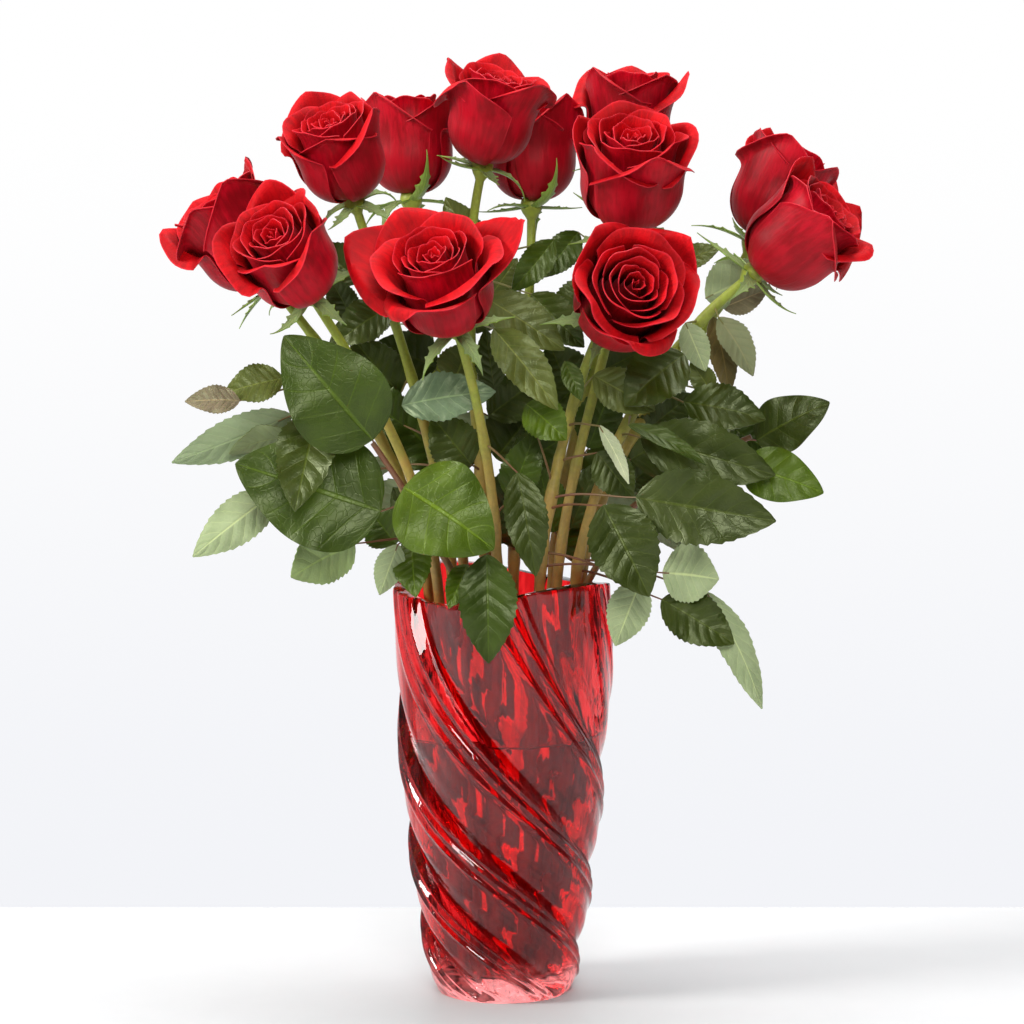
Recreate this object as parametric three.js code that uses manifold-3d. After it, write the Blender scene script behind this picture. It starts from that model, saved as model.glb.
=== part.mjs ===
// A dozen red roses with their own leaves and two sprays of broad-leaved greenery, standing in water in a
// tapered, spirally ribbed glass vase. Millimetres, +Z up, origin at the centre of the vase's flat base.
// The front of the bouquet faces -Y and its left is -X.
import * as THREE from "three";
import { mergeVertices } from "three/addons/utils/BufferGeometryUtils.js";
import Module from "manifold-3d";

const wasm = await Module();
wasm.setup();

// ---- Vase ---------------------------------------------------------------------------------------------
const VASE_HEIGHT = 232; // the wall's nominal height, which the waved rim rises above and falls below
const RIM_RISE = 2;
const RIM_WAVE = 5;
const RIM_WAVES = 2;
const RIM_CREST = 45; // degrees right of the front
const RIM_WAVE_FROM = 150; // height where the wave begins
const VASE_BASE_RADIUS = 38.5;
const VASE_BELLY_RADIUS = 60;
const VASE_BELLY_AT = 0.95; // share of the height where the wall is widest
const HEEL_HEIGHT = 6;
const HEEL_INSET = 1.5;
const WALL = 8;
const FLOOR = 14; // thick glass foot
const CAVITY_CORNER = 8;
const LOBES = 5;
const TWIST_TOP = 75; // degrees of twist per vase height at the rim
const TWIST_GROWTH = 183; // and how much the spiral tightens towards the foot
const LOBE_START = 13; // where one lobe's edge meets the rim, in degrees right of the front
// One lobe across its 72 degrees: share of the way round, and height of the glass there.
const LOBE_RELIEF = [
  [0, -5.6], [0.05, 0.8], [0.1, 0], [0.17, 2.3], [0.235, 1],
  [0.3, 2.8], [0.37, 1.3], [0.6, 1], [0.85, -2.2],
];
const RELIEF_FADE_FOOT = 9;
const VASE_RINGS = 15;
const MOUTH_DRAWN_IN = 0.98; // how far the top is drawn to its middle before the inside is cut
const CAVITY_SIDES = 22;
const CAVITY_HEIGHTS = [70, 110, 150, 195];

// ---- Water --------------------------------------------------------------------------------------------
const WATER_LEVEL = 150;
const GAP = 0.35; // between pieces that touch
const HOLE_CLEARANCE = 0.45;

// ---- Stems --------------------------------------------------------------------------------------------
const STEM_SIDES = 5;
const STEM_FOOT_Z = FLOOR + 0.65;
const STEM_FOOT_RADIUS = 3.1;
const STEM_TOP_RADIUS = 2.5;
const STEM_STEPS = 5;
const HIP_RADIUS = 6;
const HIP_HEIGHT = 10;
const HIP_RINGS = [[6.5, 4.6], [3, HIP_RADIUS], [0.35, 4.8]]; // distance below the bloom, and radius there
const STEM_PULL = 0.38; // how stiffly the stem leaves the vase, as a share of its reach
const BLOOM_PULL = 0.3; // and how stiffly it comes to the bloom
const TWIG_FOOT_RADIUS = 2.3;
const TWIG_TOP_RADIUS = 1.5;
const STALK_WIDTH = 2;
const STALK_THICKNESS = 1.6;

// ---- Blooms -------------------------------------------------------------------------------------------
const PETALS_IN_A_ROSE = 22; // numbered from the heart outwards
// Petals that are modelled: rows up each one, as shares of its length, and how many flat cells it has across.
const INNER_ROWS = [0, 0.55, 1];
const OUTER_ROWS = [0, 0.34, 0.72, 1];
const PETALS = [
  { index: 10, rows: INNER_ROWS, across: 2 },
  ...[14, 15, 16].map((index) => ({ index, rows: OUTER_ROWS, across: 2 })),
  ...[19, 20, 21].map((index) => ({ index, rows: OUTER_ROWS, across: 3 })),
];
const GOLDEN_ANGLE = 137.5;
const PETAL_THICKNESS = 0.8;

// hip: top of the stem. face: where the bloom looks. open: 0 a bud, 1 blown. flare: how far the outer petals
// fold back. neck and foot: where the stem passes the rim and meets the floor of the vase.
const ROSES = [
  {
    hip: [-129, -16, 406], face: [-0.6, -0.05, 0.8], size: 1.1, open: 0.45, flare: 0.6, spin: 20,
    neck: [-42, -6], foot: [-21, -4],
  },
  {
    hip: [-106, -62, 405], face: [-0.38, -0.62, 0.7], size: 1.05, open: 0.6, flare: 0.35, spin: 115,
    neck: [-36, -24], foot: [-17, -13],
  },
  {
    hip: [-83, -15, 452], face: [-0.27, -0.33, 0.9], size: 1, open: 0.6, flare: 0.45, spin: 140,
    neck: [-28, -5], foot: [-11, -5],
  },
  {
    hip: [-52, 45, 448], face: [-0.05, 0.12, 0.99], size: 1.06, open: 0.3, flare: 0.45, spin: 10,
    neck: [-22, 22], foot: [-12, 8], raised: 4,
  },
  {
    hip: [-11, 0, 470], face: [0.2, -0.15, 0.97], size: 1, open: 0.5, flare: 0.85, spin: 220,
    neck: [-9, 6], foot: [-2, 3],
  },
  {
    hip: [16, 58, 443], face: [0, 0.12, 0.99], size: 1.05, open: 0.3, flare: 0.4, spin: 300,
    neck: [6, 32], foot: [3, 15], raised: 0,
  },
  {
    hip: [69, -18, 439], face: [0.05, -0.45, 0.88], size: 1.15, open: 0.6, flare: 0.45, spin: 274,
    neck: [30, -7], foot: [13, -3],
  },
  {
    hip: [70, 50, 465], face: [0.05, 0.05, 1], size: 1, open: 0.35, flare: 0.7, spin: 132,
    neck: [28, 22], foot: [13, 9],
  },
  {
    hip: [-26, -70, 388], face: [-0.22, -0.56, 0.79], size: 1.1, open: 0.75, flare: 1.25, spin: 170,
    neck: [-3, -30], foot: [-3, -16],
  },
  {
    hip: [59, -54, 390], face: [0.25, -0.85, 0.45], size: 1.1, open: 0.9, flare: 0.6, spin: 30,
    neck: [20, -31], foot: [9, -13],
  },
  {
    hip: [141, 22, 426], face: [0.42, 0.15, 0.88], size: 1.06, open: 0.35, flare: 0.45, spin: 274,
    neck: [44, 9], foot: [20.6, 6.8],
  },
  {
    hip: [140, -28, 413], face: [0.74, -0.2, 0.64], size: 1.12, open: 0.55, flare: 0.5, spin: 330,
    neck: [40, -18], foot: [19, -10],
  },
];

// Twigs of broad, smooth-edged leaves; way: points the twig passes above the rim.
const TWIGS = [
  { neck: [-20, -38], foot: [-10, -20], way: [[-42, -62, 275], [-55, -78, 300], [-71, -78, 324]] },
  { neck: [46, -4], foot: [20.5, -1.5], way: [[70, -8, 276], [104, -18, 304], [138, -24, 320]] },
];

// ---- Greenery -----------------------------------------------------------------------------------------
const LEAF_THICKNESS = 0.8;
const LEAF_KINDS = {
  rose: { peak: 0.8, fullness: 0.8, tooth: 0.07, fold: 16 },
  broad: { peak: 0.66, fullness: 0.72, tooth: 0, fold: 9 },
};
const SMALL_LEAF = 50; // leaves shorter than this are drawn with fewer steps

// Leaves of each rose: height on the stem, leaf base, leaf tip, width, where the upper side faces, bend.
const ROSE_LEAVES = {
  1: [
    { at: 340, base: [-117, -32, 333], tip: [-183, -42, 308], width: 25, face: [0.2, 1, 0.1], bend: -5 },
    { at: 372, base: [-122, -20, 352], tip: [-155, -24, 344], width: 23, face: [0.1, -0.9, 0.4], bend: 3 },
    { at: 350, base: [-146, -30, 341], tip: [-176, -34, 341], width: 17, face: [0.1, -0.9, 0.4], bend: 2 },
    { at: 318, base: [-116, -45, 323], tip: [-151, -50, 314], width: 20, face: [0, 0.8, 0.6], bend: 3 },
    { at: 300, base: [-126, -30, 290], tip: [-172, -40, 255], width: 27, face: [0.3, 1, 0], bend: -6 },
    { at: 246, base: [-60, -14, 258], tip: [-75, -14, 278], width: 26, face: [0, -1, 0.1], bend: 2 },
  ],
  2: [
    { at: 345, base: [-101, -60, 341], tip: [-113, -96, 289], width: 36, face: [-0.2, -0.9, 0.5], bend: 1 },
    { at: 262, base: [-82, -50, 264], tip: [-117, -56, 246], width: 34, face: [0, 1, 0.2], bend: 3 },
    { at: 256, base: [-50, -42, 264], tip: [-48, -63, 236], width: 24, face: [-0.2, -1, 0.2], bend: 3 },
    { at: 270, base: [-58, -54, 264], tip: [-68, -61, 237], width: 17, face: [0, 1, 0.1], bend: 2 },
  ],
  3: [
    { at: 328, base: [-56, -28, 338], tip: [-4, -30, 346], width: 29, face: [0.1, -0.9, 0.4], bend: 4 },
    { at: 385, base: [-62, -24, 393], tip: [-93, -28, 372], width: 26, face: [-0.1, -0.9, 0.4], bend: 3 },
    { at: 402, base: [-80, 2, 404], tip: [-104, 6, 424], width: 26, face: [0, -1, 0.1], bend: 2 },
    { at: 395, base: [-84, -4, 384], tip: [-97, -8, 408], width: 18, face: [0, -1, 0.1], bend: 2 },
    { at: 352, base: [-58, 10, 339], tip: [-85, 8, 372], width: 30, face: [0, -1, 0.1], bend: 2 },
    { at: 300, base: [-56, 8, 300], tip: [-98, 20, 282], width: 30, face: [0, 0.5, 0.85], bend: 4 },
    { at: 246, base: [-36, 13, 250], tip: [-62, 14, 286], width: 32, face: [0, -1, 0.1], bend: 2 },
    { at: 316, base: [-56, 9, 322], tip: [-84, 10, 342], width: 30, face: [0, -1, 0.1], bend: 2 },
  ],
  4: [
    { at: 380, base: [-58, 30, 385], tip: [-98, 24, 366], width: 28, face: [0, -0.6, 0.8], bend: 3 },
    { at: 330, base: [-50, 34, 330], tip: [-96, 42, 312], width: 30, face: [0, 0.7, 0.7], bend: 4 },
    { at: 285, base: [-42, 34, 282], tip: [-84, 48, 258], width: 30, face: [-0.2, 0.8, 0.6], bend: 4 },
    { at: 352, base: [-28, 44, 354], tip: [-8, 62, 330], width: 28, face: [0, 0.9, 0.4], bend: 3 },
    { at: 256, base: [-24, 19, 262], tip: [-38, 19, 308], width: 34, face: [0, -1, 0.1], bend: 2 },
    { at: 348, base: [-38, 28, 352], tip: [-70, 24, 368], width: 32, face: [0, -1, 0.1], bend: 2 },
    { at: 296, base: [-34, 38, 296], tip: [-66, 40, 330], width: 38, face: [0, -1, 0.1], bend: 2 },
    { at: 338, base: [-28, 26, 344], tip: [-18, 22, 368], width: 28, face: [0, -1, 0.1], bend: 2 },
  ],
  5: [
    { at: 395, base: [-10, -33, 399], tip: [34, -37, 370], width: 28, face: [0, -0.9, 0.4], bend: 2 },
    { at: 378, base: [-5, -47, 383], tip: [30, -62, 340], width: 26, face: [0.3, -0.9, 0], bend: 4 },
    { at: 410, base: [-14, 14, 420], tip: [-32, 12, 450], width: 23, face: [0, -0.9, -0.3], bend: 2 },
    { at: 412, base: [28, -8, 428], tip: [5, -14, 400], width: 19, face: [0.2, -0.9, 0.2], bend: 3 },
    { at: 340, base: [-5, 6, 343], tip: [-10, 6, 377], width: 18, face: [0, -1, 0.1], bend: 2 },
    { at: 330, base: [-8, 18, 326], tip: [24, 16, 350], width: 28, face: [0, -0.9, 0.2], bend: 3 },
    { at: 252, base: [-8, 13, 258], tip: [14, 14, 300], width: 34, face: [0, -1, 0.1], bend: 2 },
    { at: 292, base: [-16, 13, 300], tip: [-44, 16, 318], width: 34, face: [0, -1, 0.1], bend: 2 },
    { at: 296, base: [-18, -7, 302], tip: [-40, -10, 330], width: 30, face: [0, -1, 0.1], bend: 2 },
    { at: 250, base: [-14, -14, 262], tip: [-30, -16, 294], width: 28, face: [0, -1, 0.1], bend: 2 },
    { at: 405, base: [16, -18, 399], tip: [45, -24, 370], width: 24, face: [0, -1, 0.1], bend: 2 },
    { at: 396, base: [-6, 12, 396], tip: [8, 10, 416], width: 18, face: [0, -1, 0.1], bend: 2 },
  ],
  6: [
    { at: 385, base: [6, 38, 390], tip: [-24, 26, 372], width: 26, face: [0, -0.8, 0.5], bend: 3 },
    { at: 300, base: [14, 52, 298], tip: [20, 86, 270], width: 34, face: [0, 0.6, 0.8], bend: 4 },
    { at: 322, base: [-4, 54, 318], tip: [-38, 68, 294], width: 32, face: [0, 0.8, 0.6], bend: 4 },
    { at: 292, base: [-4, 31, 300], tip: [22, 31, 334], width: 38, face: [0, -1, 0.1], bend: 2 },
    { at: 246, base: [6, 26, 250], tip: [8, 27, 292], width: 36, face: [0, -1, 0.1], bend: 2 },
    { at: 242, base: [2, 40, 250], tip: [-12, 42, 290], width: 36, face: [0, -1, 0.1], bend: 2 },
    { at: 318, base: [22, 48, 320], tip: [42, 48, 340], width: 22, face: [0, -1, 0.1], bend: 2 },
  ],
  7: [
    { at: 405, base: [92, -4, 412], tip: [121, -8, 424], width: 16, face: [0, -0.9, 0.4], bend: 2 },
    { at: 412, base: [42, 18, 430], tip: [22, 12, 405], width: 20, face: [0.2, -0.9, 0.3], bend: 3 },
    { at: 300, base: [48, 16, 308], tip: [62, 17, 346], width: 28, face: [0, -1, 0.1], bend: 2 },
    { at: 258, base: [29, 4, 262], tip: [20, 4, 300], width: 26, face: [0, -1, 0.1], bend: 2 },
  ],
  8: [
    { at: 400, base: [56, 32, 397], tip: [26, 20, 373], width: 31, face: [0, -0.9, 0.3], bend: 3 },
    { at: 350, base: [66, 44, 348], tip: [106, 58, 326], width: 32, face: [0, 0.7, 0.7], bend: 4 },
    { at: 290, base: [50, 38, 286], tip: [88, 56, 260], width: 30, face: [0, 0.7, 0.7], bend: 4 },
    { at: 256, base: [38, 18, 262], tip: [54, 20, 300], width: 24, face: [0, -1, 0.1], bend: 2 },
    { at: 290, base: [6, 22, 296], tip: [36, 22, 314], width: 30, face: [0, -1, 0.1], bend: 2 },
    { at: 330, base: [38, 30, 338], tip: [26, 28, 366], width: 34, face: [0, -1, 0.1], bend: 2 },
    { at: 244, base: [34, 32, 250], tip: [52, 34, 290], width: 32, face: [0, -1, 0.1], bend: 2 },
    { at: 274, base: [48, 27, 284], tip: [74, 28, 310], width: 32, face: [0, -1, 0.1], bend: 2 },
    { at: 248, base: [40, 34, 240], tip: [47, 40, 270], width: 26, face: [0, -1, 0.1], bend: 2 },
    { at: 338, base: [55, 34, 349], tip: [80, 34, 362], width: 22, face: [0, -1, 0.1], bend: 2 },
    { at: 276, base: [70, 36, 282], tip: [88, 36, 300], width: 20, face: [0, -1, 0.1], bend: 2 },
  ],
  9: [
    { at: 268, base: [-9, -58, 259], tip: [-8, -68, 200], width: 34, face: [0.05, -1, 0.15], bend: 3 },
    { at: 246, base: [-20, -50, 252], tip: [-30, -64, 230], width: 16, face: [0.1, -1, 0.2], bend: 2 },
    { at: 318, base: [8, -60, 305], tip: [18, -70, 249], width: 25, face: [0.1, -1, 0.1], bend: 3 },
    { at: 276, base: [4, -18, 284], tip: [18, -18, 322], width: 24, face: [0, -1, 0.1], bend: 2 },
  ],
  10: [
    { at: 292, base: [13, -38, 340], tip: [35, -45, 321], width: 25, face: [0, -0.9, 0.3], bend: 3 },
    { at: 350, base: [34, -56, 366], tip: [43, -61, 345], width: 12, face: [0, -0.9, 0.4], bend: 2 },
    { at: 326, base: [53, -60, 331], tip: [69, -68, 300], width: 10, face: [0.5, 0.8, 0], bend: 2 },
    { at: 286, base: [73, -72, 293], tip: [149, -86, 282], width: 43, face: [0, -1, 0.15], bend: 6 },
    { at: 280, base: [55, -74, 289], tip: [80, -84, 240], width: 40, face: [0.1, -1, 0.1], bend: 4 },
    { at: 248, base: [88, -58, 249], tip: [119, -62, 246], width: 36, face: [0, 1, 0.1], bend: 2 },
    { at: 256, base: [76, -56, 244], tip: [62, -64, 209], width: 25, face: [0, 1, 0], bend: 2 },
    { at: 306, base: [52, -38, 313], tip: [72, -39, 288], width: 24, face: [0, -1, 0.1], bend: 2 },
    { at: 340, base: [50, -38, 356], tip: [84, -42, 337], width: 25, face: [0, -1, 0.2], bend: 2 },
  ],
  11: [
    { at: 390, base: [113, -2, 395], tip: [149, -6, 411], width: 32, face: [0, 1, 0.1], bend: 3 },
    { at: 380, base: [117, 0, 384], tip: [126, -5, 341], width: 18, face: [0.3, -0.9, 0], bend: 4 },
    { at: 392, base: [123, 4, 389], tip: [148, 0, 400], width: 17, face: [0, -1, 0.1], bend: 2 },
    { at: 330, base: [92, 16, 326], tip: [134, 30, 304], width: 32, face: [0, 0.5, 0.85], bend: 4 },
    { at: 275, base: [66, 18, 272], tip: [104, 30, 246], width: 28, face: [0, 0.7, 0.7], bend: 4 },
    { at: 298, base: [72, 14, 302], tip: [104, 12, 320], width: 40, face: [0, -1, 0.1], bend: 2 },
    { at: 318, base: [84, 8, 322], tip: [106, 8, 340], width: 22, face: [0, -1, 0.1], bend: 2 },
    { at: 322, base: [128, 2, 322], tip: [150, 0, 308], width: 22, face: [0, -1, 0.1], bend: 2 },
  ],
  12: [
    { at: 320, base: [76, -50, 323], tip: [150, -56, 303], width: 37, face: [0, -1, 0.2], bend: 5 },
    { at: 330, base: [69, -64, 332], tip: [111, -72, 311], width: 13, face: [0, -0.6, 0.8], bend: 3 },
    { at: 346, base: [100, -36, 341], tip: [145, -42, 332], width: 28, face: [0, -0.9, 0.4], bend: 4 },
    { at: 365, base: [100, -40, 368], tip: [67, -52, 341], width: 36, face: [-0.1, -0.9, 0.4], bend: 4 },
    { at: 384, base: [101, -28, 384], tip: [112, -34, 358], width: 17, face: [0, 1, 0.1], bend: 2 },
    { at: 350, base: [116, -22, 345], tip: [104, -22, 362], width: 15, face: [0, -1, 0.1], bend: 2 },
    { at: 392, base: [119, -36, 388], tip: [138, -40, 356], width: 19, face: [0.4, 0.9, 0], bend: 4 },
    { at: 250, base: [113, -34, 234], tip: [144, -44, 170], width: 21, face: [-0.4, 0.9, 0], bend: -8 },
    { at: 244, base: [88, -46, 232], tip: [128, -52, 208], width: 30, face: [0, -0.9, 0.3], bend: 3 },
  ],
};

const TWIG_LEAVES = [
  [
    { at: 322, base: [-71, -81, 326], tip: [-119, -80, 383], width: 56, face: [-0.1, -1, 0.25], bend: 7 },
    { at: 290, base: [-67, -70, 285], tip: [-147, -60, 310], width: 66, face: [-0.1, -0.95, 0.3], bend: 3 },
    { at: 300, base: [-54, -82, 300], tip: [-5, -90, 267], width: 56, face: [0.1, -1, 0.3], bend: 7 },
  ],
  [
    { at: 318, base: [141, -24, 318], tip: [181, -30, 340], width: 32, face: [0, -0.9, 0.4], bend: 4 },
    { at: 306, base: [134, -40, 306], tip: [177, -48, 292], width: 31, face: [0, -0.95, 0.3], bend: 4 },
  ],
];

// ---- Geometry helpers ---------------------------------------------------------------------------------
const vec = (x, y, z) => new THREE.Vector3(x, y, z);
const from = (p) => new THREE.Vector3(...p);
const mix = (a, b, t) => a + (b - a) * t;
const clamp01 = (t) => Math.min(1, Math.max(0, t));
const ease = (t) => clamp01(t) ** 2 * (3 - 2 * clamp01(t));
const radians = THREE.MathUtils.degToRad;

// A repeatable number from 0 to 1 for a pair of counts.
function draw(a, b) {
  const wide = Math.sin(a * 12.9898 + b * 78.233) * 43758.5453;
  return wide - Math.floor(wide);
}

function solidOf(geometry) {
  const bare = new THREE.BufferGeometry();
  bare.setAttribute("position", geometry.getAttribute("position"));
  bare.setIndex(geometry.index);
  const merged = mergeVertices(bare, 1e-4);
  const vertProperties = merged.attributes.position.array;
  const triVerts = new Uint32Array(merged.index.array);
  return new wasm.Manifold(new wasm.Mesh({ numProp: 3, vertProperties, triVerts }));
}

function geometryOf(solid) {
  const { numProp, numVert, vertProperties, triVerts } = solid.getMesh();
  const positions = new Float32Array(numVert * 3);
  for (let i = 0; i < numVert; i++) {
    positions.set(vertProperties.subarray(i * numProp, i * numProp + 3), i * 3);
  }
  const geometry = new THREE.BufferGeometry();
  geometry.setAttribute("position", new THREE.BufferAttribute(positions, 3));
  geometry.setIndex(new THREE.BufferAttribute(triVerts, 1));
  geometry.computeVertexNormals();
  return geometry;
}

function meshData(points, triangles) {
  const geometry = new THREE.BufferGeometry().setFromPoints(points);
  geometry.setIndex(triangles);
  return geometry;
}

// Closed solid through rings of points, each ring anticlockwise seen from its far side, capped by fans.
function loft(rings) {
  const sides = rings[0].length;
  const points = rings.flat();
  const triangles = [];
  for (let k = 0; k + 1 < rings.length; k++) {
    for (let i = 0; i < sides; i++) {
      const a = k * sides + i;
      const b = k * sides + ((i + 1) % sides);
      triangles.push(a, b, a + sides, b, b + sides, a + sides);
    }
  }
  const last = (rings.length - 1) * sides;
  for (let i = 1; i + 1 < sides; i++) {
    triangles.push(0, i + 1, i);
    triangles.push(last, last + i, last + i + 1);
  }
  return solidOf(meshData(points, triangles));
}

// Round limb along points, with a radius at each.
function limb(points, radiusAt, sides) {
  let side = null;
  const rings = points.map((p, k) => {
    const before = points[Math.max(0, k - 1)];
    const after = points[Math.min(points.length - 1, k + 1)];
    const along = after.clone().sub(before).normalize();
    if (!side) side = Math.abs(along.z) > 0.9 ? vec(1, 0, 0) : vec(0, 0, 1);
    side = side.clone().addScaledVector(along, -side.dot(along)).normalize();
    const other = along.clone().cross(side);
    return Array.from({ length: sides }, (_, i) => {
      const turn = (i / sides) * 2 * Math.PI;
      return p
        .clone()
        .addScaledVector(side, radiusAt[k] * Math.cos(turn))
        .addScaledVector(other, radiusAt[k] * Math.sin(turn));
    });
  });
  return loft(rings);
}

// Thin closed blade: a grid of points thickened by half along each point's normal, both ways.
function blade(grid, normals, thicknessOfRow) {
  const rows = grid.length;
  const columns = grid[0].length;
  const points = [];
  for (const side of [0.5, -0.5]) {
    grid.forEach((row, k) =>
      row.forEach((p, i) => points.push(p.clone().addScaledVector(normals[k][i], side * thicknessOfRow(k)))),
    );
  }
  const under = rows * columns;
  const triangles = [];
  const quad = (a, b, c, d) => triangles.push(a, b, c, a, c, d);
  for (let k = 0; k + 1 < rows; k++) {
    for (let i = 0; i + 1 < columns; i++) {
      const a = k * columns + i;
      quad(a, a + columns, a + columns + 1, a + 1);
      triangles.push(under + a, under + a + columns + 1, under + a + columns);
      triangles.push(under + a, under + a + 1, under + a + columns + 1);
    }
  }
  const wall = (a, b) => quad(a, b, under + b, under + a);
  for (let i = 0; i + 1 < columns; i++) {
    wall(i, i + 1);
    wall((rows - 1) * columns + i + 1, (rows - 1) * columns + i);
  }
  for (let k = 0; k + 1 < rows; k++) {
    wall((k + 1) * columns, k * columns);
    wall((k + 1) * columns - 1, (k + 2) * columns - 1);
  }
  return solidOf(meshData(points, triangles));
}

// Surface normals of a grid of points, from its neighbours.
function gridNormals(grid) {
  const rows = grid.length;
  const columns = grid[0].length;
  return grid.map((row, k) =>
    row.map((_, i) => {
      const down = grid[Math.min(rows - 1, k + 1)][i].clone().sub(grid[Math.max(0, k - 1)][i]);
      const across = grid[k][Math.min(columns - 1, i + 1)].clone().sub(grid[k][Math.max(0, i - 1)]);
      return down.cross(across).normalize();
    }),
  );
}

const union = (solids) => wasm.Manifold.union(solids);

// Largest body of a solid, in case a join leaves a scrap.
function largest(solid) {
  return solid.decompose().sort((a, b) => b.volume() - a.volume())[0];
}

// ---- Vase ---------------------------------------------------------------------------------------------
function vaseRadius(z) {
  const share = z / VASE_HEIGHT / VASE_BELLY_AT;
  return mix(VASE_BASE_RADIUS, VASE_BELLY_RADIUS, 1 - (1 - share) ** 2);
}

// Point of the ribbed outside: z up the vase, share of the way through lobe number k, and the relief there.
function ribPoint(z, k, share, relief) {
  const fromTop = 1 - z / VASE_HEIGHT;
  const twist = TWIST_TOP * fromTop + TWIST_GROWTH * fromTop ** 2;
  const turn = radians(LOBE_START + twist - ((k + share) * 360) / LOBES);
  const heel = HEEL_INSET * (1 - clamp01(z / HEEL_HEIGHT)) ** 2;
  const r = vaseRadius(z) - heel + relief * ease(z / RELIEF_FADE_FOOT);
  const wave = RIM_RISE + RIM_WAVE * Math.cos(RIM_WAVES * (turn - radians(RIM_CREST)));
  const lift = wave * ease((z - RIM_WAVE_FROM) / (VASE_HEIGHT - RIM_WAVE_FROM));
  return vec(r * Math.sin(turn), -r * Math.cos(turn), z + lift);
}

function cavityProfile(offset, top) {
  const points = [[0, FLOOR + offset]];
  const flat = vaseRadius(FLOOR) - WALL - CAVITY_CORNER;
  points.push([flat, FLOOR + offset]);
  points.push([flat + CAVITY_CORNER * 0.7 - offset * 0.7, FLOOR + CAVITY_CORNER * 0.3 + offset * 0.7]);
  for (const z of [FLOOR + CAVITY_CORNER, ...CAVITY_HEIGHTS]) {
    if (z < top) points.push([vaseRadius(z) - WALL - offset, z]);
  }
  points.push([vaseRadius(top) - WALL - offset, top]);
  points.push([0, top]);
  return points.map(([r, z]) => new THREE.Vector2(r, z));
}

function turned(profile, sides) {
  const lathe = new THREE.LatheGeometry(profile, sides);
  lathe.rotateX(Math.PI / 2);
  const solid = solidOf(lathe);
  if (solid.volume() > 0) return solid;
  const index = Array.from(lathe.index.array);
  for (let i = 0; i < index.length; i += 3) [index[i + 1], index[i + 2]] = [index[i + 2], index[i + 1]];
  lathe.setIndex(index);
  return solidOf(lathe);
}

function makeVase() {
  const rings = [];
  const heights = [0, 2, HEEL_HEIGHT];
  const turns = TWIST_TOP + TWIST_GROWTH;
  for (let k = 1; k <= VASE_RINGS; k++) {
    const left = turns * (1 - k / VASE_RINGS);
    const fromTop = (Math.sqrt(TWIST_TOP ** 2 + 4 * TWIST_GROWTH * left) - TWIST_TOP) / (2 * TWIST_GROWTH);
    heights.push(VASE_HEIGHT * (1 - fromTop));
  }
  for (const z of heights) {
    const ring = [];
    for (let k = 0; k < LOBES; k++) {
      for (const [share, relief] of LOBE_RELIEF) ring.push(ribPoint(z, k, share, relief));
    }
    rings.push(ring.reverse());
  }
  const middle = vec(0, 0, VASE_HEIGHT + RIM_RISE);
  rings.push(rings[rings.length - 1].map((p) => p.clone().lerp(middle, MOUTH_DRAWN_IN)));
  return loft(rings).subtract(turned(cavityProfile(0, VASE_HEIGHT + 3 * RIM_WAVE), CAVITY_SIDES));
}

// ---- Stems --------------------------------------------------------------------------------------------
function frameOf(face) {
  const z = from(face).normalize();
  const reference = Math.abs(z.z) > 0.95 ? vec(0, 1, 0) : vec(0, 0, 1);
  const x = reference.cross(z).normalize();
  const y = z.clone().cross(x);
  return new THREE.Matrix4().makeBasis(x, y, z);
}

// The stem's line: straight in the vase, then one smooth curve up to the hip, square to the bloom.
function stemLine(neck, foot, end, endDirection, steps) {
  const footPoint = vec(foot[0], foot[1], STEM_FOOT_Z);
  const neckPoint = vec(neck[0], neck[1], VASE_HEIGHT);
  const rise = neckPoint.clone().sub(footPoint).normalize();
  const reach = end.distanceTo(neckPoint);
  const curve = new THREE.CubicBezierCurve3(
    neckPoint,
    neckPoint.clone().addScaledVector(rise, reach * STEM_PULL),
    end.clone().addScaledVector(endDirection, -reach * BLOOM_PULL),
    end,
  );
  return [footPoint, ...Array.from({ length: steps + 1 }, (_, k) => curve.getPoint(k / steps))];
}

function roseStemLine(rose) {
  const face = from(rose.face).normalize();
  const end = from(rose.hip).addScaledVector(face, -HIP_HEIGHT);
  return stemLine(rose.neck, rose.foot, end, face, STEM_STEPS);
}

function pointAtHeight(line, z) {
  for (let k = 0; k + 1 < line.length; k++) {
    const [low, high] = [line[k], line[k + 1]];
    if (high.z >= z) return low.clone().lerp(high, (z - low.z) / (high.z - low.z));
  }
  return line[line.length - 1].clone();
}

// The twig's line: straight in the vase, then through its way points.
function twigLine(twig) {
  const foot = vec(...twig.foot, STEM_FOOT_Z);
  const neck = vec(...twig.neck, VASE_HEIGHT);
  return [foot, neck, ...twig.way.map(from)];
}

function makeTwig(twig) {
  const line = twigLine(twig);
  const radii = line.map((_, k) => mix(TWIG_FOOT_RADIUS, TWIG_TOP_RADIUS, k / (line.length - 1)));
  return limb(line, radii, STEM_SIDES);
}

function makeRoseStem(rose) {
  const face = from(rose.face).normalize();
  const line = roseStemLine(rose);
  const radii = line.map((_, k) => mix(STEM_FOOT_RADIUS, STEM_TOP_RADIUS, k / (line.length - 1)));
  const hip = from(rose.hip);
  for (const [back, radius] of HIP_RINGS) {
    line.push(hip.clone().addScaledVector(face, -back));
    radii.push(radius * rose.size);
  }
  return limb(line, radii, STEM_SIDES);
}

// ---- Sepals: five narrow green leaves under each bloom ------------------------------------------------
const SEPALS = 5;
const SEPAL_LENGTH = 29;
const SEPAL_WIDTH = 7;
// The sepal that rises against its bloom: degrees from the axis at its start and its tip, and extra length.
const RAISED_START = 75;
const RAISED_END = -15;
const RAISED_LENGTH = 1.35;
const SEPAL_STEPS = 2;
const SEPAL_OUTLINE = [0.3, 1, 0.15];

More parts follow.
